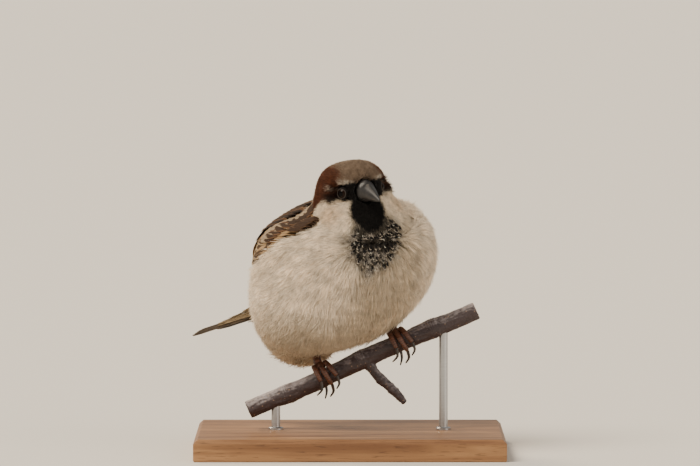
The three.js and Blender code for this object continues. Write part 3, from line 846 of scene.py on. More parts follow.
def contour_feathers(name, region, spacing, length, half, kind, height, turning):
    """Scatters contour feathers over a region of the outline, each laid along the coat."""
    feathers = []
    patches = []
    middles = outline[skin_faces].mean(axis=1)
    share = region(middles)
    order = rng.permutation(len(middles))
    taken = []
    for index in order[rng.random(len(middles)) < TRIED_SHARE]:
        if share[index] < rng.uniform(0.25, 0.95):
            continue
        spot = middles[index]
        if taken and np.min(np.linalg.norm(np.array(taken) - spot, axis=1)) < spacing:
            continue
        taken.append(spot)
    taken.sort(key=lambda spot: in_body(spot)[0])
    for spot in taken:
        normal = np.array(laying_surface.find_nearest(Vector(spot))[1])
        heading = lie_of_coat(spot[None], normal[None])[0]
        heading = unit(heading + np.cross(normal, heading) * rng.normal(0, turning))
        reach = length * rng.uniform(0.8, 1.15)
        points = []
        normals = []
        for v in np.linspace(0, 1, CONTOUR_STEPS + 1):
            found, facing, _, _ = laying_surface.find_nearest(Vector(spot + heading * reach * v))
            points.append(np.array(found))
            normals.append(np.array(facing))
        points = smoothed(np.array(points))
        normals = unit(smoothed(np.array(normals)))
        grid, uv = vane(points, normals, half * rng.uniform(0.75, 1.2), height, SOFT)
        if in_body(spot)[1] <= 0:
            uv = np.stack([1 - uv[..., 0], uv[..., 1]], axis=-1)
        greyer = GREYER ** rise(in_body(spot[None])[0, 0], -14, -30)
        paler = PALER if rng.random() < PALE_SHARE else np.ones(3)
        feathers.append((grid, uv, greyer * paler * rng.uniform(0.8, 1.15)))
        patches.append(uv.reshape(-1, 2))
    piece = feather_piece(name, feathers, VANE_MATERIALS[kind])
    lay_patches(piece.data, unwrapped(np.array(taken))[:, None] + (np.array(patches) - 0.5) * PATCH)


def on_mantle(points):
    """1 on the back, where the mantle's feathers lie."""
    f, l, u = in_body(points).T
    return rise(f, 0, -3) * rise(f, -33, -30) * rise(u, 3, 5) * rise(np.abs(l), 26, 24) * (
        1 - head_share(points)
    )


contour_feathers(
    "mantle_feathers", on_mantle, spacing=1.85, length=9.5, half=1.7, kind="mantle", height=0.1,
    turning=0.14,
)
contour_feathers(
    "bib_feathers", mottle_share, spacing=1.35, length=2.8, half=0.55, kind="bib", height=-0.5,
    turning=0.4,
)

# ---------------------------------------------------------------- tail
# Twelve tail feathers, shut like a fan into a shallow roof with the middle pair on top, dark brown
# with narrow buff edges. Layers of soft coverts over and under them thicken the tail's root; those under
# it are drawn dark in painted shade.

TAIL = {"root": (-31, -4, -9.5), "root_half": 2.5, "roof": 1.1, "notch": 1.8, "lift": 0.45}
FANS = [
    # name, material, feathers, length ahead of the root and behind it, half the fan, half a vane,
    # height over the tail feathers at the root and at the tip, shape, CAD nodes that it replaces
    ("tail_feathers", "tail", 12, 6, 60, 8.2, 3.3, 0.0, 0.0, STIFF, ("tail",)),
    ("upper_tail_coverts_low", "upper", 17, 9, 44, 7.8, 2.2, 2.2, 0.4, SOFT, ()),
    ("upper_tail_coverts_long", "upper", 17, 9, 40, 7.8, 2.2, 4.3, 0.8, SOFT, ()),
    ("upper_tail_coverts_middle", "upper", 17, 9, 34, 7.6, 2.2, 6.2, 1.4, SOFT, ()),
    ("upper_tail_coverts_short", "upper", 15, 9, 27, 7.4, 2.2, 8.0, 2.7, SOFT, ()),
    # The under tail coverts take the dark vane of painted shade.
    ("under_tail_coverts_low", "under", 17, 9, 40, 7.2, 2.2, -3.0, -0.9, SOFT, ()),
    ("under_tail_coverts_middle", "under", 17, 9, 36, 7.2, 2.2, -5.4, -1.7, SOFT, ()),
    ("under_tail_coverts_short", "under", 15, 9, 29, 6.8, 2.2, -8.0, -3.4, SOFT, ()),
]
TAIL_TURN = {"yaw": math.radians(38 - 90), "pitch": math.radians(-14), "roll": math.radians(9)}


def tail_axes():
    """The tail's forward, left and up, as rows."""
    turn = Euler((TAIL_TURN["roll"], TAIL_TURN["pitch"], TAIL_TURN["yaw"]), "XYZ").to_matrix()
    return np.array(turn).T


tail_rows = tail_axes()
tail_root = from_body(TAIL["root"])
for name, kind, number, ahead, length, spread, half, above_root, above_tip, form, replaced in FANS:
    fan = []
    middle = (number - 1) / 2
    for k in sorted(range(number), key=lambda k: -abs(k - middle)):
        place = (k - middle) / middle
        v = np.linspace(0, 1, FEATHER_STEPS + 1)
        left_at = place * (TAIL["root_half"] + (spread - half - TAIL["root_half"]) * v**0.8)
        reach = length - TAIL["notch"] * (1 - abs(place)) + ahead
        if form is SOFT:
            reach = reach * rng.uniform(0.82, 1.05)
        above = (above_root * (1 - v) + above_tip * v) * (1 - 0.9 * place * place)
        roof = above + TAIL["lift"] - TAIL["roof"] * place * place * (0.4 + 0.6 * v)
        points = tail_root + np.stack([ahead - v * reach, left_at, roof], axis=1) @ tail_rows
        normals = np.tile(unit(tail_rows[2] + tail_rows[1] * place * 0.3), (len(v), 1))
        shape = {**form, "lean": form["lean"] * (-1 if place > 0 else 1), "taper": 0.2, "cup": 0.18}
        grid, uv = vane(points, normals, half, 0.0, shape)
        fan.append((grid, uv, np.ones(3) * rng.uniform(0.9, 1.1)))
    feather_piece(name, fan, VANE_MATERIALS[kind], replaced)

# ---------------------------------------------------------------- coat of small feathers
# The small feathers of head, breast, belly and back. Each is a tuft of soft barbs, fluffed up in the
# cold and overlapping like tiles, rooted in the skin and lying towards the tail.

TEMPLATES = 10
BODY_TUFTS = 2.05
HEAD_TUFTS_MORE = 3.7
SWIRL_SIZE = 6.0
CLUMP_SIZE = 3.2
FAR = 99.0


def tuft_template(blades, spread, root_width, blade_width):
    """One tuft in its own plane. Rows are along, across and height from 0 to 1, for each vertex."""
    steps = np.array([0.0, 0.38, 0.72, 1.0])
    vertices = []
    triangles = []
    for k in range(blades):
        aim = spread * ((k + 0.5) / blades * 2 - 1) + rng.normal(0, spread * 0.15)
        root = root_width * ((k + 0.5) / blades * 2 - 1) * rng.uniform(0.6, 1.2)
        length = rng.uniform(0.72, 1.0)
        bend = rng.normal(0, 0.06)
        height = rng.uniform(0.75, 1.15)
        roll = rng.normal(0, 0.45)
        first = len(vertices)
        for t in steps:
            along = t * length * math.cos(aim)
            across = root + t * length * math.sin(aim) + bend * t * t
            half = blade_width / 2 * (1 - t**1.7)
            for edge in (-1, 1) if t < 1 else (0,):
                lift = half * edge * math.sin(roll)
                vertices.append((along, across + half * edge * math.cos(roll), height, lift, t))
        for j in range(2):
            a = first + 2 * j
            triangles += [(a, a + 2, a + 1), (a + 1, a + 2, a + 3)]
        triangles.append((first + 4, first + 6, first + 5))
    return np.array(vertices), np.array(triangles)


def scatter(density):
    """Random points on the skin, near evenly spread, at density per square millimetre of each face."""
    corners = skin_points[skin_faces]
    one, other = corners[:, 1] - corners[:, 0], corners[:, 2] - corners[:, 0]
    area = np.linalg.norm(np.cross(one, other), axis=1) / 2
    middles = corners.mean(axis=1)
    count = np.floor(area * density(middles) + rng.random(len(area))).astype(int)
    face = np.repeat(np.arange(len(area)), count)
    a, b = rng.random((2, len(face)))
    flip = a + b > 1
    a = np.where(flip, 1 - a, a)[:, None]
    b = np.where(flip, 1 - b, b)[:, None]
    picked = corners[face]
    points = picked[:, 0] + a * (picked[:, 1] - picked[:, 0]) + b * (picked[:, 2] - picked[:, 0])
    smooth = outline_normals[skin_faces[face]]
    normals = unit(smooth[:, 0] * (1 - a - b) + smooth[:, 1] * a + smooth[:, 2] * b)
    return points, normals


def tuft_geometry(points, normals, lie, template, size):
    """Vertices (tuft, vertex, xyz) of a template set at each root. size holds one value for each tuft."""
    along, across, height, lift, t = template.T
    side = np.cross(normals, lie)
    profile = 1 - (1 - t) ** 2
    length = size["length"][:, None]
    run = along * length
    over = across * size["width"][:, None]
    high = size["depth"][:, None] * height * profile + size["lift"][:, None] * t * t * length
    high = high + lift * size["width"][:, None] + 0.05
    drop = size["curve"][:, None] * run * run
    return (
        points[:, None]
        + run[..., None] * lie[:, None]
        + over[..., None] * side[:, None]
        + (high - drop)[..., None] * normals[:, None]
    )


def coat_pieces(groups):
    """Builds each named group of tufts as one joined mesh with its marking and its OFBake map."""
    for name, parts in groups.items():
        vertices = []
        triangles = []
        colours = []
        maps = []
        count = 0
        for geometry, faces, colour, uv in parts:
            tufts, each = geometry.shape[:2]
            offsets = count + np.arange(tufts)[:, None, None] * each
            vertices.append(geometry.reshape(-1, 3))
            triangles.append((faces[None] + offsets).reshape(-1, 3))
            colours.append(colour.reshape(-1, 3))
            maps.append(uv.reshape(-1, 2))
            count += tufts * each
        mesh = new_mesh(name, np.concatenate(vertices), np.concatenate(triangles))
        add_colours(mesh, "marking", np.concatenate(colours))
        lay_patches(mesh, np.concatenate(maps))
        add_piece(name, mesh, COAT_MATERIAL)


def coat_material():
    """Down and soft barbs of keratin: matt, with a little light coming through them."""
    material = blank_material("feather_barbs")
    marking = add_node(material, "Attribute", attribute_name="marking")
    place = add_node(material, "TexCoord").outputs["Object"]
    clumps = add_node(
        material, "TexNoise", {"Scale": 1 / (2.5 * MM), "Detail": 4.0, "Roughness": 0.6, "Vector": place}
    )
    shade = add_node(
        material, "MapRange",
        {"From Min": 0.3, "From Max": 0.7, "To Min": 0.76, "To Max": 1.14, "Value": clumps},
    )
    colour = add_node(material, "VectorMath", {0: marking, "Scale": shade}, operation="SCALE")
    barbs = add_node(
        material, "BsdfPrincipled",
        {"Roughness": 0.8, "IOR": 1.45, "Specular IOR Level": 0.3, "Base Color": colour},
    )
    through = add_node(material, "BsdfTranslucent", {"Color": colour})
    mixed = add_node(material, "MixShader", {0: 0.25, 1: barbs, 2: through})
    return show_surface(material, mixed)


COAT_MATERIAL = coat_material()


def eye_clearance(points):
    """Distance across the nearer eye's axis, for points on the face, and FAR behind the eyes."""
    nearest = np.full(len(points), FAR)
    for side in SIDES:
        along, across = round_eye(points, side)
        nearest = np.minimum(nearest, np.where(along > -3, across, FAR))
    return nearest


def under_vanes(points):
    """1 where larger feathers lie over the coat, which is short and sparse there."""
    return np.maximum(on_mantle(points), on_wing(points))


def coat_density(points):
    """Tufts on each square millimetre of skin, with none over the eyes."""
    tufts = BODY_TUFTS + HEAD_TUFTS_MORE * head_share(points)
    return tufts * rise(eye_clearance(points), 1.72, 1.9) * (1 - 0.6 * under_vanes(points))


roots, root_normals = scatter(coat_density)
bf, bl, bu = in_body(roots).T
lie = lie_of_coat(roots, root_normals)
head_part = head_share(roots)
back_of_face = rise(from_bill_root(roots), 4.5, 13)
by_eye = rise(eye_clearance(roots), 1.8, 4.5)
face_length = (1.3 + 2.4 * back_of_face) * (0.45 + 0.55 * by_eye)
body_length = 7.0 + 1.5 * rise(bu, 5, -15)
ankles = [middle_of("leg_" + side) for side in SIDES]
from_ankle = np.minimum(*(np.linalg.norm(roots - ankle, axis=1) for ankle in ankles))
body_length = body_length * (1 + 0.55 * rise(from_ankle, 15, 8))
mottle = mottle_share(roots)
covered = under_vanes(roots)
body_length = body_length * (1 - 0.5 * mottle) * (1 - 0.4 * covered)
count = len(roots)
length = (body_length + (face_length - body_length) * head_part) * rng.uniform(0.8, 1.2, count)
depth = coat_depth(roots) * rng.uniform(0.75, 1.05, count) * (1 - 0.7 * covered)
lift = rng.uniform(-0.01, 0.15, count) * (1 - 0.9 * head_part) * (1 - covered)
size = {
    "length": length,
    "depth": depth * (0.5 + 0.5 * by_eye),
    "lift": lift,
    "curve": np.where(head_part > 0.5, 0.03, 0.011),
}
size["width"] = size["length"] * rng.uniform(0.85, 1.15, count) * (1 - 0.35 * mottle)
swirl = np.array([noise.noise(Vector(root) / SWIRL_SIZE) for root in roots]) * (1 - head_part)
clump = np.array([noise.noise(Vector(root) / CLUMP_SIZE) for root in roots]) * (1 - head_part)
twist = rng.normal(0, 0.16, count) + 0.6 * swirl
size["depth"] = size["depth"] * (1 + 0.3 * clump)
lie = unit(lie * np.cos(twist)[:, None] + np.cross(root_normals, lie) * np.sin(twist)[:, None])

stray = rng.normal(0, 0.7, roots.shape) * (1 - 0.8 * head_part)[:, None]
root_colour = markings(roots + stray)
tone = (rng.normal(1, 0.11, count) * (1 + 0.22 * clump))[:, None]
tip_colour = markings(roots + stray + lie * size["length"][:, None] * 0.6)
fringed = (rng.random(count) < 0.25 + 0.35 * rise(bu, 19, 8)) & (mottle > 0.3)
tip_colour[fringed] = linear(PLUMAGE["fringe"])
root_colour = root_colour * tone
tip_colour = tip_colour * tone

# Blades in a tuft, how far they fan out in radians, and the widths of root and blade as shares of length
BODY_TUFT = (12, 0.30, 0.10, 0.034)
HEAD_TUFT = (7, 0.30, 0.12, 0.085)
body_templates = [tuft_template(*BODY_TUFT) for _ in range(TEMPLATES)]
head_templates = [tuft_template(*HEAD_TUFT) for _ in range(TEMPLATES)]
region = np.where(
    head_part > 0.5,
    "head",
    np.where(bf > 4, "breast", np.where(bu > 2, "back", "belly")),
).astype("<U24")
level = np.where(bu > -2, "_high", np.where(bu > -17, "_middle", "_low"))
level = np.where((region == "head") | (region == "back"), "", level)
region = np.char.add(np.char.add("coat_", region), np.where(bl > 0, "_left", "_right"))
region = np.char.add(region, level)
pick = rng.integers(0, TEMPLATES, count)

groups = {}
for name in sorted(set(region)):
    templates = head_templates if "head" in name else body_templates
    for number, (template, faces) in enumerate(templates):
        chosen = (region == name) & (pick == number)
        if not chosen.any():
            continue
        part = {key: value[chosen] for key, value in size.items()}
        geometry = tuft_geometry(roots[chosen], root_normals[chosen], lie[chosen], template, part)
        t = template[:, 4]
        blend = rise(t, 0.35, 0.95)[None, :, None]
        colour = root_colour[chosen][:, None] * (1 - blend) + tip_colour[chosen][:, None] * blend
        colour = colour * (0.5 + 0.5 * rise(t, 0.0, 0.7))[None, :, None]
        patch = np.stack([template[:, 1] * 0.8, t - 0.5], axis=1) * PATCH
        uv = unwrapped(roots[chosen])[:, None] + patch[None]
        groups.setdefault(name, []).append((geometry, faces, colour, uv))
coat_pieces(groups)

# ---------------------------------------------------------------- bill
# A short, deep, conical seed-eater's bill: two horn sheaths over bone, blackish in the breeding
# season, which shut along a fine line. The nostrils open at its root beside the forehead's feathers.

BILL = {"base": (4.2, 0, -0.5), "droop": math.radians(12), "length": 11.8, "sunk": 3.0}
BILL_HALF_WIDTH = 3.55
MANDIBLES = {"upper": (1, 4.35, 0.0), "lower": (-1, 3.15, 1.0)}
BILL_RINGS = 44
BILL_ARCH = 28


def bill_point(forward, left, up):
    """Places along the bill's own drooping axis, for arrays of forward, left and up."""
    f = BILL["base"][0] + forward * math.cos(BILL["droop"]) + up * math.sin(BILL["droop"])
    u = BILL["base"][2] - forward * math.sin(BILL["droop"]) + up * math.cos(BILL["droop"])
    return from_head(np.stack([f, left, u], axis=-1))


def mandible(side, height, shorter):
    """One mandible as an arch over the shut line, closed along its flat face."""
    length = BILL["length"] - shorter
    t = np.linspace(0, 1, BILL_RINGS + 1)[:, None]
    forward = -BILL["sunk"] + (length + BILL["sunk"]) * (1 - (1 - t) ** 1.3)
    s = np.clip(forward, 0, None) / length
    taper = np.sqrt(np.clip(1 - s, 0, 1)) * (1 - 0.35 * s) + 0.03 * (1 - s)
    a = np.linspace(0, math.pi, BILL_ARCH + 1)[None]
    wide = BILL_HALF_WIDTH * np.minimum(taper, 1) ** 1.15
    tall = height * np.minimum(taper, 1)
    culmen = 1 + 0.05 * np.exp(-(((a - math.pi / 2) / 0.22) ** 2)) * (side > 0)
    nostril_a = np.minimum(np.abs(a - 0.95), np.abs(a - (math.pi - 0.95)))
    nostril = 0.4 * np.exp(-((nostril_a / 0.13) ** 2) - ((forward - 1.3) / 0.55) ** 2) * (side > 0)
    arch_out = tall * np.sin(a) ** 0.85 * culmen
    left = (wide - nostril) * np.cos(a)
    shut = -0.6 * s * s - 0.35 * np.exp(-(((s - 0.12) / 0.12) ** 2))
    edge = 0.12 * np.abs(np.cos(a)) ** 8 * (1 - s)
    up = shut + side * (0.06 + arch_out - edge - nostril * np.sin(a))
    forward, flat_up = np.broadcast_arrays(forward, shut + side * 0.06, left)[:2]
    top = bill_point(forward, left, up)
    flat = bill_point(forward, left * 0.97, flat_up)
    vertices = np.concatenate([top.reshape(-1, 3), flat.reshape(-1, 3)])
    faces = grid_faces(BILL_RINGS, BILL_ARCH)
    faces = np.concatenate([faces, faces[:, ::-1] + top.size // 3])
    return vertices, facing_out(vertices, faces)


def horn_material(name, dark, pale, gloss):
    """Horn: polished keratin, faintly streaked along its growth, with a greyer bloom where it is worn."""
    material = blank_material(name)
    place = add_node(material, "TexCoord").outputs["Object"]
    streaks = add_node(
        material, "TexNoise", {"Scale": 1 / (1.4 * MM), "Detail": 5.0, "Roughness": 0.6, "Vector": place}
    )
    share = add_node(material, "MapRange", {"From Min": 0.42, "From Max": 0.72, "Value": streaks})
    tone = add_node(
        material, "Mix", {"A": rgba(dark), "B": rgba(pale), "Factor": share}, data_type="RGBA"
    )
    rough = add_node(material, "MapRange", {"To Min": gloss, "To Max": gloss + 0.2, "Value": streaks})
    bump = add_node(material, "Bump", {"Strength": 0.2, "Distance": 0.08 * MM, "Height": streaks})
    horn = add_node(
        material, "BsdfPrincipled", {"IOR": 1.54, "Base Color": tone, "Roughness": rough, "Normal": bump}
    )
    return show_surface(material, horn)


BILL_HORN = horn_material("bill_horn", "131212", "2b2929", 0.33)
for name, (side, height, shorter) in MANDIBLES.items():
    vertices, triangles = mandible(side, height, shorter)
    label = "mandible_" + name
    mesh = new_mesh(label, vertices, triangles)
    add_piece(label, mesh, BILL_HORN, ("bill_" + name,))

# ---------------------------------------------------------------- eyes
# Glass-bright dark eyes: a wet cornea over a dark brown iris and a black pupil, held by thin grey
# lids with a beaded rim. They stand in shallow sockets in the mask and look out and a little ahead.

EYE_RADIUS = 2.45
LID_ANGLE = math.radians(43)
LID_PROFILE = [
    # angle beyond the opening's edge, height over the ball, and share of pale rim, round one section
    (0.04, -0.30, 0.0),
    (0.0, -0.05, 0.6),
    (0.0, 0.07, 1.0),
    (0.03, 0.12, 1.0),
    (0.06, 0.10, 0.7),
    (0.09, 0.06, 0.0),
    (0.40, 0.08, 0.0),
    (0.75, 0.05, 0.0),
    (0.95, -0.30, 0.0),
    (0.04, -0.30, 0.0),
]


def add_values(mesh, name, values):
    """Stores one number for each vertex, which a material reads by name."""
    layer = mesh.attributes.new(name, "FLOAT", "POINT")
    layer.data.foreach_set("value", values.astype(np.float32))


def ring_frame(axis):
    """Forward and up across an axis, for things set round an eye."""
    forward = unit(head_forward - (head_forward @ axis) * axis)
    return forward, unit(np.cross(axis, forward)) * np.sign(np.cross(axis, forward) @ up_world)


def eyeball(middle, axis):
    """A ball with a slightly bulging cornea, its polar angle from the axis stored for the iris."""
    rings = 40
    sides = 48
    polar = np.linspace(0, math.pi, rings + 1)[:, None]
    turn = np.linspace(0, 2 * math.pi, sides + 1)[None]
    forward, up = ring_frame(axis)
    radius = EYE_RADIUS * (1 + 0.045 * np.exp(-((polar / 0.55) ** 2)))
    local = (
        np.cos(polar)[..., None] * np.ones_like(turn)[..., None] * axis
        + (np.sin(polar) * np.cos(turn))[..., None] * forward
        + (np.sin(polar) * np.sin(turn))[..., None] * up
    )
    vertices = middle + local * radius[..., None]
    level = np.broadcast_to(polar, (rings + 1, sides + 1)).reshape(-1)
    return vertices.reshape(-1, 3), facing_out(vertices.reshape(-1, 3), grid_faces(rings, sides)), level


def eye_material():
    """Living cornea over iris: very smooth and wet, dark brown with a black pupil."""
    material = blank_material("wet_eye")
    polar = add_node(material, "Attribute", attribute_name="polar").outputs["Fac"]
    pupil = add_node(material, "MapRange", {"From Min": 0.42, "From Max": 0.46, "Value": polar})
    fibres = add_node(material, "TexNoise", {"Scale": 1 / (0.25 * MM), "Detail": 2.0})
    iris = add_node(
        material, "Mix", {"A": rgba("0f0805"), "B": rgba("1f110a"), "Factor": fibres}, data_type="RGBA"
    )
    tone = add_node(material, "Mix", {"A": rgba("050404"), "Factor": pupil, "B": iris}, data_type="RGBA")
    cornea = add_node(
        material, "BsdfPrincipled",
        {"Roughness": 0.05, "IOR": 1.38, "Specular IOR Level": 0.14, "Base Color": tone},
    )
    return show_surface(material, cornea)


def lid_ring(middle, axis):
    """Both lids as one shell that hugs the ball, from a beaded rim round the opening to the socket."""
    around = 96
    turn = np.linspace(0, 2 * math.pi, around + 1)[:, None]
    polar = np.array([angle for angle, _, _ in LID_PROFILE])[None] + LID_ANGLE
    stand = np.array([height for _, height, _ in LID_PROFILE])[None]
    rim = np.array([share for _, _, share in LID_PROFILE])[None]
    forward, up = ring_frame(axis)
    polar = polar * (1 + 0.07 * np.cos(turn) ** 2 - 0.04 * np.sin(turn) ** 2)
    radius = EYE_RADIUS + stand + 0.03 * rim * np.abs(np.sin(turn * 15))
    away = np.cos(turn)[..., None] * forward + np.sin(turn)[..., None] * up
    outward = np.cos(polar)[..., None] * axis + np.sin(polar)[..., None] * away
    vertices = (middle + outward * radius[..., None]).reshape(-1, 3)
    level = np.broadcast_to(rim, radius.shape).reshape(-1)
    return vertices, facing_out(vertices, grid_faces(around, len(LID_PROFILE) - 1)), level


def lid_material():
    """Bare lid skin: matt and finely beaded, grey on the rim and nearly black towards the socket."""
    material = blank_material("lid_skin")
    rim = add_node(material, "Attribute", attribute_name="rim").outputs["Fac"]
    beads = add_node(material, "TexVoronoi", {"Scale": 1 / (0.22 * MM)})
    grey = add_node(
        material, "Mix", {"A": rgba("2c2a28"), "B": rgba("57524e"), "Factor": beads}, data_type="RGBA"
    )
    tone = add_node(material, "Mix", {"A": rgba("120f0e"), "Factor": rim, "B": grey}, data_type="RGBA")
    bump = add_node(material, "Bump", {"Strength": 0.5, "Distance": 0.06 * MM, "Height": beads})
    lid = add_node(
        material, "BsdfPrincipled",
        {"Roughness": 0.7, "IOR": 1.45, "Specular IOR Level": 0.2, "Base Color": tone, "Normal": bump},
    )
    return show_surface(material, lid)


EYE_MATERIAL = eye_material()
LID_MATERIAL = lid_material()
for side in SIDES:
    axis = eye_axis(side)
    vertices, triangles, polar_level = eyeball(eye_middles[side], axis)
    ball = new_mesh("eyeball_" + side, vertices, triangles)
    add_values(ball, "polar", polar_level)
    add_piece("eyeball_" + side, ball, EYE_MATERIAL, ("eye_" + side,))
    vertices, triangles, rim_level = lid_ring(eye_middles[side], axis)
    lids = new_mesh("eyelid_" + side, vertices, triangles)
    add_values(lids, "rim", rim_level)
    add_piece("eyelid_" + side, lids, LID_MATERIAL)

# ---------------------------------------------------------------- perch
# A cut length of cherry twig with a short spur: thin dark bark, purplish brown, with a silvery sheen
# painted on its upper faces where the light strikes it, raised pores and the ring scars of old buds.

PERCH = {"middle": np.array([4.7, 0, 33.4]), "slope": math.radians(24)}
BARK_VOXEL = 0.42
RING_SCARS = (-24, 3.5, 30)
perch_along = np.array([math.cos(PERCH["slope"]), 0, math.sin(PERCH["slope"])])
perch_up = np.array([-perch_along[2], 0, perch_along[0]])
front = np.array([0.0, -1.0, 0.0])


def round_perch(points):
    """Places round the perch: length along it, angle from its top to the front, and radius."""
    away = points - PERCH["middle"]
    across_up = away @ perch_up
    across_front = away @ front
    return away @ perch_along, np.arctan2(across_front, across_up), np.hypot(across_up, across_front)


def bark_relief(points):
    """How far the bark stands out at each point, from its furrows, ring scars and pores."""
    length, _, radius = round_perch(points)
    relief = np.zeros(len(points))
    for k, point in enumerate(points):
        along = Vector((length[k] * 0.22, point[1] * 0.9, point[2] * 0.9 - point[0] * 0.35))
        furrow = noise.fractal(along, 0.8, 2.1, 4)
        fine = noise.noise(Vector(point) * 1.9)
        relief[k] = 0.22 * furrow + 0.07 * fine
    for scar in RING_SCARS:
        for offset in (-0.9, 0, 0.9, 1.8):
            place = (scar - PERCH["middle"][0]) / math.cos(PERCH["slope"]) + offset
            relief += 0.20 * np.exp(-(((length - place) / 0.22) ** 2)) * (radius < 5.5)
    return relief


def bark_material():
    """Young cherry bark: satiny, purplish brown, with a painted silvery highlight on top, and pale
    sapwood where it is cut.
    """
    material = blank_material("cherry_bark")
    place = add_node(material, "TexCoord").outputs["Object"]
    # Painted highlight: faces turned upward are drawn silvery pale, broken up by patches.
    facing = add_node(material, "NewGeometry").outputs["Normal"]
    upness = add_node(material, "SeparateXYZ", {0: facing})
    patches = add_node(
        material, "TexNoise", {"Scale": 1 / (3.0 * MM), "Detail": 6.0, "Roughness": 0.65, "Vector": place}
    )
    lit = add_node(
        material, "Math", {1: 0.45, 0: upness.outputs["Z"], 2: patches}, operation="MULTIPLY_ADD"
    )
    top_sheen_share = add_node(
        material, "MapRange", {"From Min": 0.62, "From Max": 1.0, "To Max": 0.8, "Value": lit}
    )
    fibres = add_node(material, "TexNoise", {"Scale": 1 / (0.6 * MM), "Detail": 4.0, "Vector": place})
    bark = add_node(
        material, "Mix", {"A": rgba("1f1719"), "B": rgba("4b3d3f"), "Factor": fibres}, data_type="RGBA"
    )
    top_sheened = add_node(
        material, "Mix", {"B": rgba("a39a9c"), "Factor": top_sheen_share, "A": bark}, data_type="RGBA"
    )
    pores = add_node(material, "TexVoronoi", {"Scale": 1 / (1.6 * MM), "Vector": place})
    pore_share = add_node(material, "MapRange", {"From Min": 0.16, "From Max": 0.10, "Value": pores})
    pored = add_node(
        material, "Mix", {"B": rgba("8a6e58"), "Factor": pore_share, "A": top_sheened}, data_type="RGBA"
    )
    cut = add_node(material, "Attribute", attribute_name="cut").outputs["Fac"]
    sapwood = add_node(
        material, "Mix", {"A": rgba("a98661"), "B": rgba("cdb08a"), "Factor": fibres}, data_type="RGBA"
    )
    tone = add_node(material, "Mix", {"Factor": cut, "A": pored, "B": sapwood}, data_type="RGBA")
    bump = add_node(material, "Bump", {"Strength": 0.6, "Distance": 0.15 * MM, "Height": fibres})
    surface = add_node(
        material, "BsdfPrincipled", {"Roughness": 0.5, "IOR": 1.5, "Base Color": tone, "Normal": bump}
    )
    return show_surface(material, surface)


bark_points, bark_normals, bark_faces = remeshed(("perch",), BARK_VOXEL, grow=0.0, smoothing=3)
bark_length, _, bark_radius = round_perch(bark_points)
end_low, end_high = bark_length.min(), bark_length.max()
near_end = np.minimum(bark_length - end_low, end_high - bark_length)
cut_share = rise(near_end, 0.7, 0.5) * rise(bark_radius, 3.0, 2.7)
bark_points = bark_points + bark_normals * (bark_relief(bark_points) * (1 - cut_share))[:, None]
twig_mesh = new_mesh("bark", bark_points, bark_faces)
add_values(twig_mesh, "cut", cut_share)
add_piece("bark", twig_mesh, bark_material(), ("perch",))

# ---------------------------------------------------------------- legs, toes and claws
# Slender legs and toes of thin skin over tendon and bone, sheathed in reddish brown scales, with
# broader plates along their fronts, pads beneath and dark curved claws of horn at their ends.

TOES = ("inner", "middle", "outer", "hind")
SCALE_PITCH = 0.75
SCALE_STAND = 0.03
FOOT_VOXEL = 0.2
FOOT_GROW = 0.22
CLAW_VOXEL = 0.1
CLAW_GROW = 0.12
PAD_HALF = {"along": 2.9, "up": 1.5, "across": 2.4}
PAD_AHEAD = 1.3
PAD_SUNK = 1.1


def foot_pad(side):
    """The cushion that the toes spring from, pressed to the top of the perch."""
    leg, _ = node_surface("leg_" + side)
    lowest = leg[np.argsort((leg - PERCH["middle"]) @ perch_up)[:8]].mean(axis=0)
    ball = bmesh.new()
    bmesh.ops.create_icosphere(ball, subdivisions=3, radius=1)
    x, y, z = np.array([v.co for v in ball.verts]).T[:, :, None]
    faces = corners_of(ball)
    ball.free()
    x, y, z = x * PAD_HALF["along"], y * PAD_HALF["across"], z * PAD_HALF["up"]
    middle = lowest + PAD_AHEAD * front - PAD_SUNK * perch_up
    return middle + x * perch_along - y * front + z * perch_up, faces


def scale_level(points):
    """How far each point of a foot stands out for its scales, and the scale bands' phase."""
    _, angle, radius = round_perch(points)
    on_toe = rise(radius, 8.4, 7.2)
    travel = np.where(on_toe > 0.5, angle * 4.8, radius)
    phase = np.abs(np.sin(math.pi * travel / SCALE_PITCH))
    return phase**0.6


def foot_material():
    """Scaled skin: satin keratin, reddish brown, with painted highlights that make it paler and pinker
    where a scale catches the light.
    """
    material = blank_material("leg_scales")
    place = add_node(material, "TexCoord").outputs["Object"]
    # Painted highlight: each scale's raised crest is drawn paler and pinker, broken up by a mottle.
    scale_crest_highlight = add_node(material, "Attribute", attribute_name="scale_crest_highlight").outputs["Fac"]
    mottle = add_node(material, "TexNoise", {"Scale": 1 / (1.2 * MM), "Detail": 4.0, "Vector": place})
    both = add_node(material, "Math", {0: scale_crest_highlight, 1: mottle}, operation="MULTIPLY")
    share = add_node(material, "MapRange", {"From Min": 0.0, "From Max": 0.6, "Value": both})
    tone = add_node(
        material, "Mix", {"A": rgba("301d17"), "B": rgba("68402f"), "Factor": share}, data_type="RGBA"
    )
    grain = add_node(material, "TexVoronoi", {"Scale": 1 / (0.45 * MM), "Vector": place})
    bump = add_node(material, "Bump", {"Strength": 0.35, "Distance": 0.06 * MM, "Height": grain})
    scales = add_node(
        material, "BsdfPrincipled", {"Roughness": 0.42, "IOR": 1.5, "Base Color": tone, "Normal": bump}
    )
    return show_surface(material, scales)


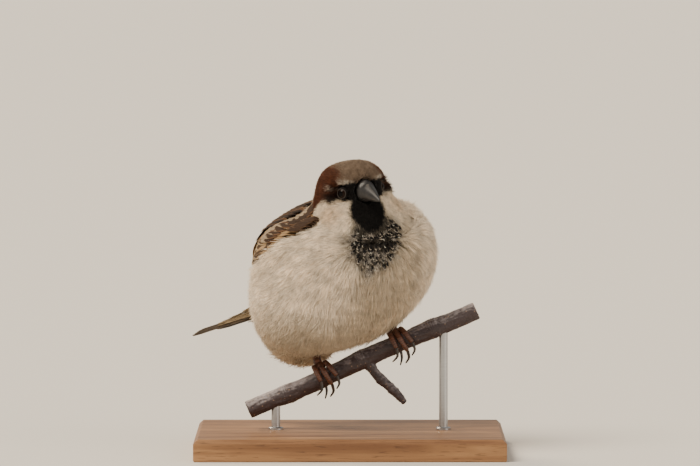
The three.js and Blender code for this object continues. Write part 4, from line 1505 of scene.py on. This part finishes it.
FOOT_MATERIAL = foot_material()
CLAW_HORN = horn_material("claw_horn", "191210", "4d3c33", 0.3)
for side in SIDES:
    foot_nodes = ("leg_" + side, *("toe_" + toe + "_" + side for toe in TOES))
    points, normals, faces = remeshed(foot_nodes, FOOT_VOXEL, FOOT_GROW, 4, extra=foot_pad(side))
    level = scale_level(points)
    points = points + normals * (SCALE_STAND * level - 0.02)[:, None]
    foot = new_mesh("foot_" + side, points, faces)
    # The scales' crests carry a painted highlight in the foot's material.
    add_values(foot, "scale_crest_highlight", level)
    add_piece("foot_" + side, foot, FOOT_MATERIAL, foot_nodes)
    claw_nodes = tuple("claw_" + toe + "_" + side for toe in TOES)
    points, normals, faces = remeshed(claw_nodes, CLAW_VOXEL, CLAW_GROW, 2, keep_largest=False)
    claws = new_mesh("claws_" + side, points, faces)
    add_piece("claws_" + side, claws, CLAW_HORN, claw_nodes)

# ---------------------------------------------------------------- stand
# A plain display stand: an oiled oak base with softened edges, and two brushed steel rods pressed
# into it through small collars, which hold the twig up from below.

BASE_BEVEL = 0.5
ROD_RADIUS = 1.6
ROD_SIDES = 48
COLLAR = {"radius": 2.7, "height": 0.9}


def oak_material():
    """Oiled oak: satin, open-grained, with darker late wood and fine pores along the board."""
    material = blank_material("oiled_oak")
    place = add_node(material, "TexCoord").outputs["Object"]
    stretch = add_node(material, "Mapping", {"Scale": (0.07, 1.0, 1.0), "Vector": place})
    rings = add_node(
        material, "TexNoise", {"Scale": 1 / (5 * MM), "Detail": 5.0, "Distortion": 0.6, "Vector": stretch}
    )
    pores = add_node(material, "TexNoise", {"Scale": 1 / (0.5 * MM), "Detail": 2.0, "Vector": stretch})
    wood = add_node(material, "MapRange", {"From Min": 0.32, "From Max": 0.68, "Value": rings})
    tone = add_node(
        material, "Mix", {"A": rgba("6f4a2c"), "B": rgba("b08458"), "Factor": wood}, data_type="RGBA"
    )
    pore_share = add_node(
        material, "MapRange", {"From Min": 0.40, "From Max": 0.34, "To Max": 0.6, "Value": pores}
    )
    pored = add_node(
        material, "Mix", {"B": rgba("4a2f1b"), "Factor": pore_share, "A": tone}, data_type="RGBA"
    )
    bump = add_node(material, "Bump", {"Strength": 0.3, "Distance": 0.08 * MM, "Height": pores})
    oak = add_node(
        material, "BsdfPrincipled", {"Roughness": 0.42, "IOR": 1.5, "Base Color": pored, "Normal": bump}
    )
    return show_surface(material, oak)


def steel_material():
    """Stainless steel rod, brushed round: bright metal with fine rings of scratches."""
    material = blank_material("brushed_steel")
    place = add_node(material, "TexCoord").outputs["Object"]
    stretch = add_node(material, "Mapping", {"Scale": (0.05, 0.05, 1.0), "Vector": place})
    # Real scratches are finer than this, too fine to show, so they are drawn about 0.15 mm apart.
    scratches = add_node(
        material, "TexNoise", {"Scale": 1 / (0.15 * MM), "Detail": 3.0, "Vector": stretch}
    )
    rough = add_node(material, "MapRange", {"To Min": 0.24, "To Max": 0.42, "Value": scratches})
    tone = add_node(
        material, "Mix", {"A": rgba("9fa1a4"), "B": rgba("c9cacc"), "Factor": scratches}, data_type="RGBA"
    )
    steel = add_node(
        material, "BsdfPrincipled", {"Metallic": 1.0, "Base Color": tone, "Roughness": rough}
    )
    return show_surface(material, steel)


def turned(profile, x, y):
    """A closed turned shape about the upright axis through x, y, from its radii and heights."""
    turn = np.linspace(0, 2 * math.pi, ROD_SIDES + 1)[None]
    radii = np.array([radius for radius, _ in profile])[:, None]
    heights = np.array([height for _, height in profile])[:, None]
    vertices = np.stack(
        [x + radii * np.cos(turn), y + radii * np.sin(turn), heights * np.ones_like(turn)], axis=-1
    )
    vertices = vertices.reshape(-1, 3)
    return vertices, facing_out(vertices, grid_faces(len(profile) - 1, ROD_SIDES))


base_points, base_faces = node_surface("stand_base")
base_body = bmesh.new()
base_body.from_mesh(new_mesh("base", base_points, base_faces, smooth=False))
bmesh.ops.dissolve_limit(base_body, angle_limit=0.02, verts=base_body.verts, edges=base_body.edges)
base_mesh = bpy.data.meshes.new("oak_base")
base_body.to_mesh(base_mesh)
base_body.free()
base = add_piece("oak_base", base_mesh, oak_material(), ("stand_base",))
soften = base.modifiers.new("soften", "BEVEL")
soften.width = BASE_BEVEL * MM
soften.segments = 3

STEEL = steel_material()
base_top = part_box("stand_base")[1][2] / MM
for end in ("low", "high"):
    node = "stand_rod_" + end
    low, high = (np.array(corner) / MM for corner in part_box(node))
    x, y = (low[0] + high[0]) / 2, (low[1] + high[1]) / 2
    profile = [
        (0, low[2]),
        (ROD_RADIUS, low[2]),
        (ROD_RADIUS, base_top),
        (COLLAR["radius"], base_top),
        (COLLAR["radius"], base_top + COLLAR["height"] * 0.7),
        (COLLAR["radius"] - 0.3, base_top + COLLAR["height"]),
        (ROD_RADIUS + 0.1, base_top + COLLAR["height"]),
        (ROD_RADIUS, base_top + COLLAR["height"] + 0.1),
        (ROD_RADIUS, high[2] - 0.3),
        (0, high[2] - 0.3),
    ]
    vertices, triangles = turned(profile, x, y)
    rod_mesh = new_mesh("rod_" + end, vertices, triangles)
    rod = add_piece("rod_" + end, rod_mesh, STEEL, (node,))
    crease = rod.modifiers.new("edges", "EDGE_SPLIT")
    crease.split_angle = math.radians(35)

# ---------------------------------------------------------------- bounds of what is drawn
low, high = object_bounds()
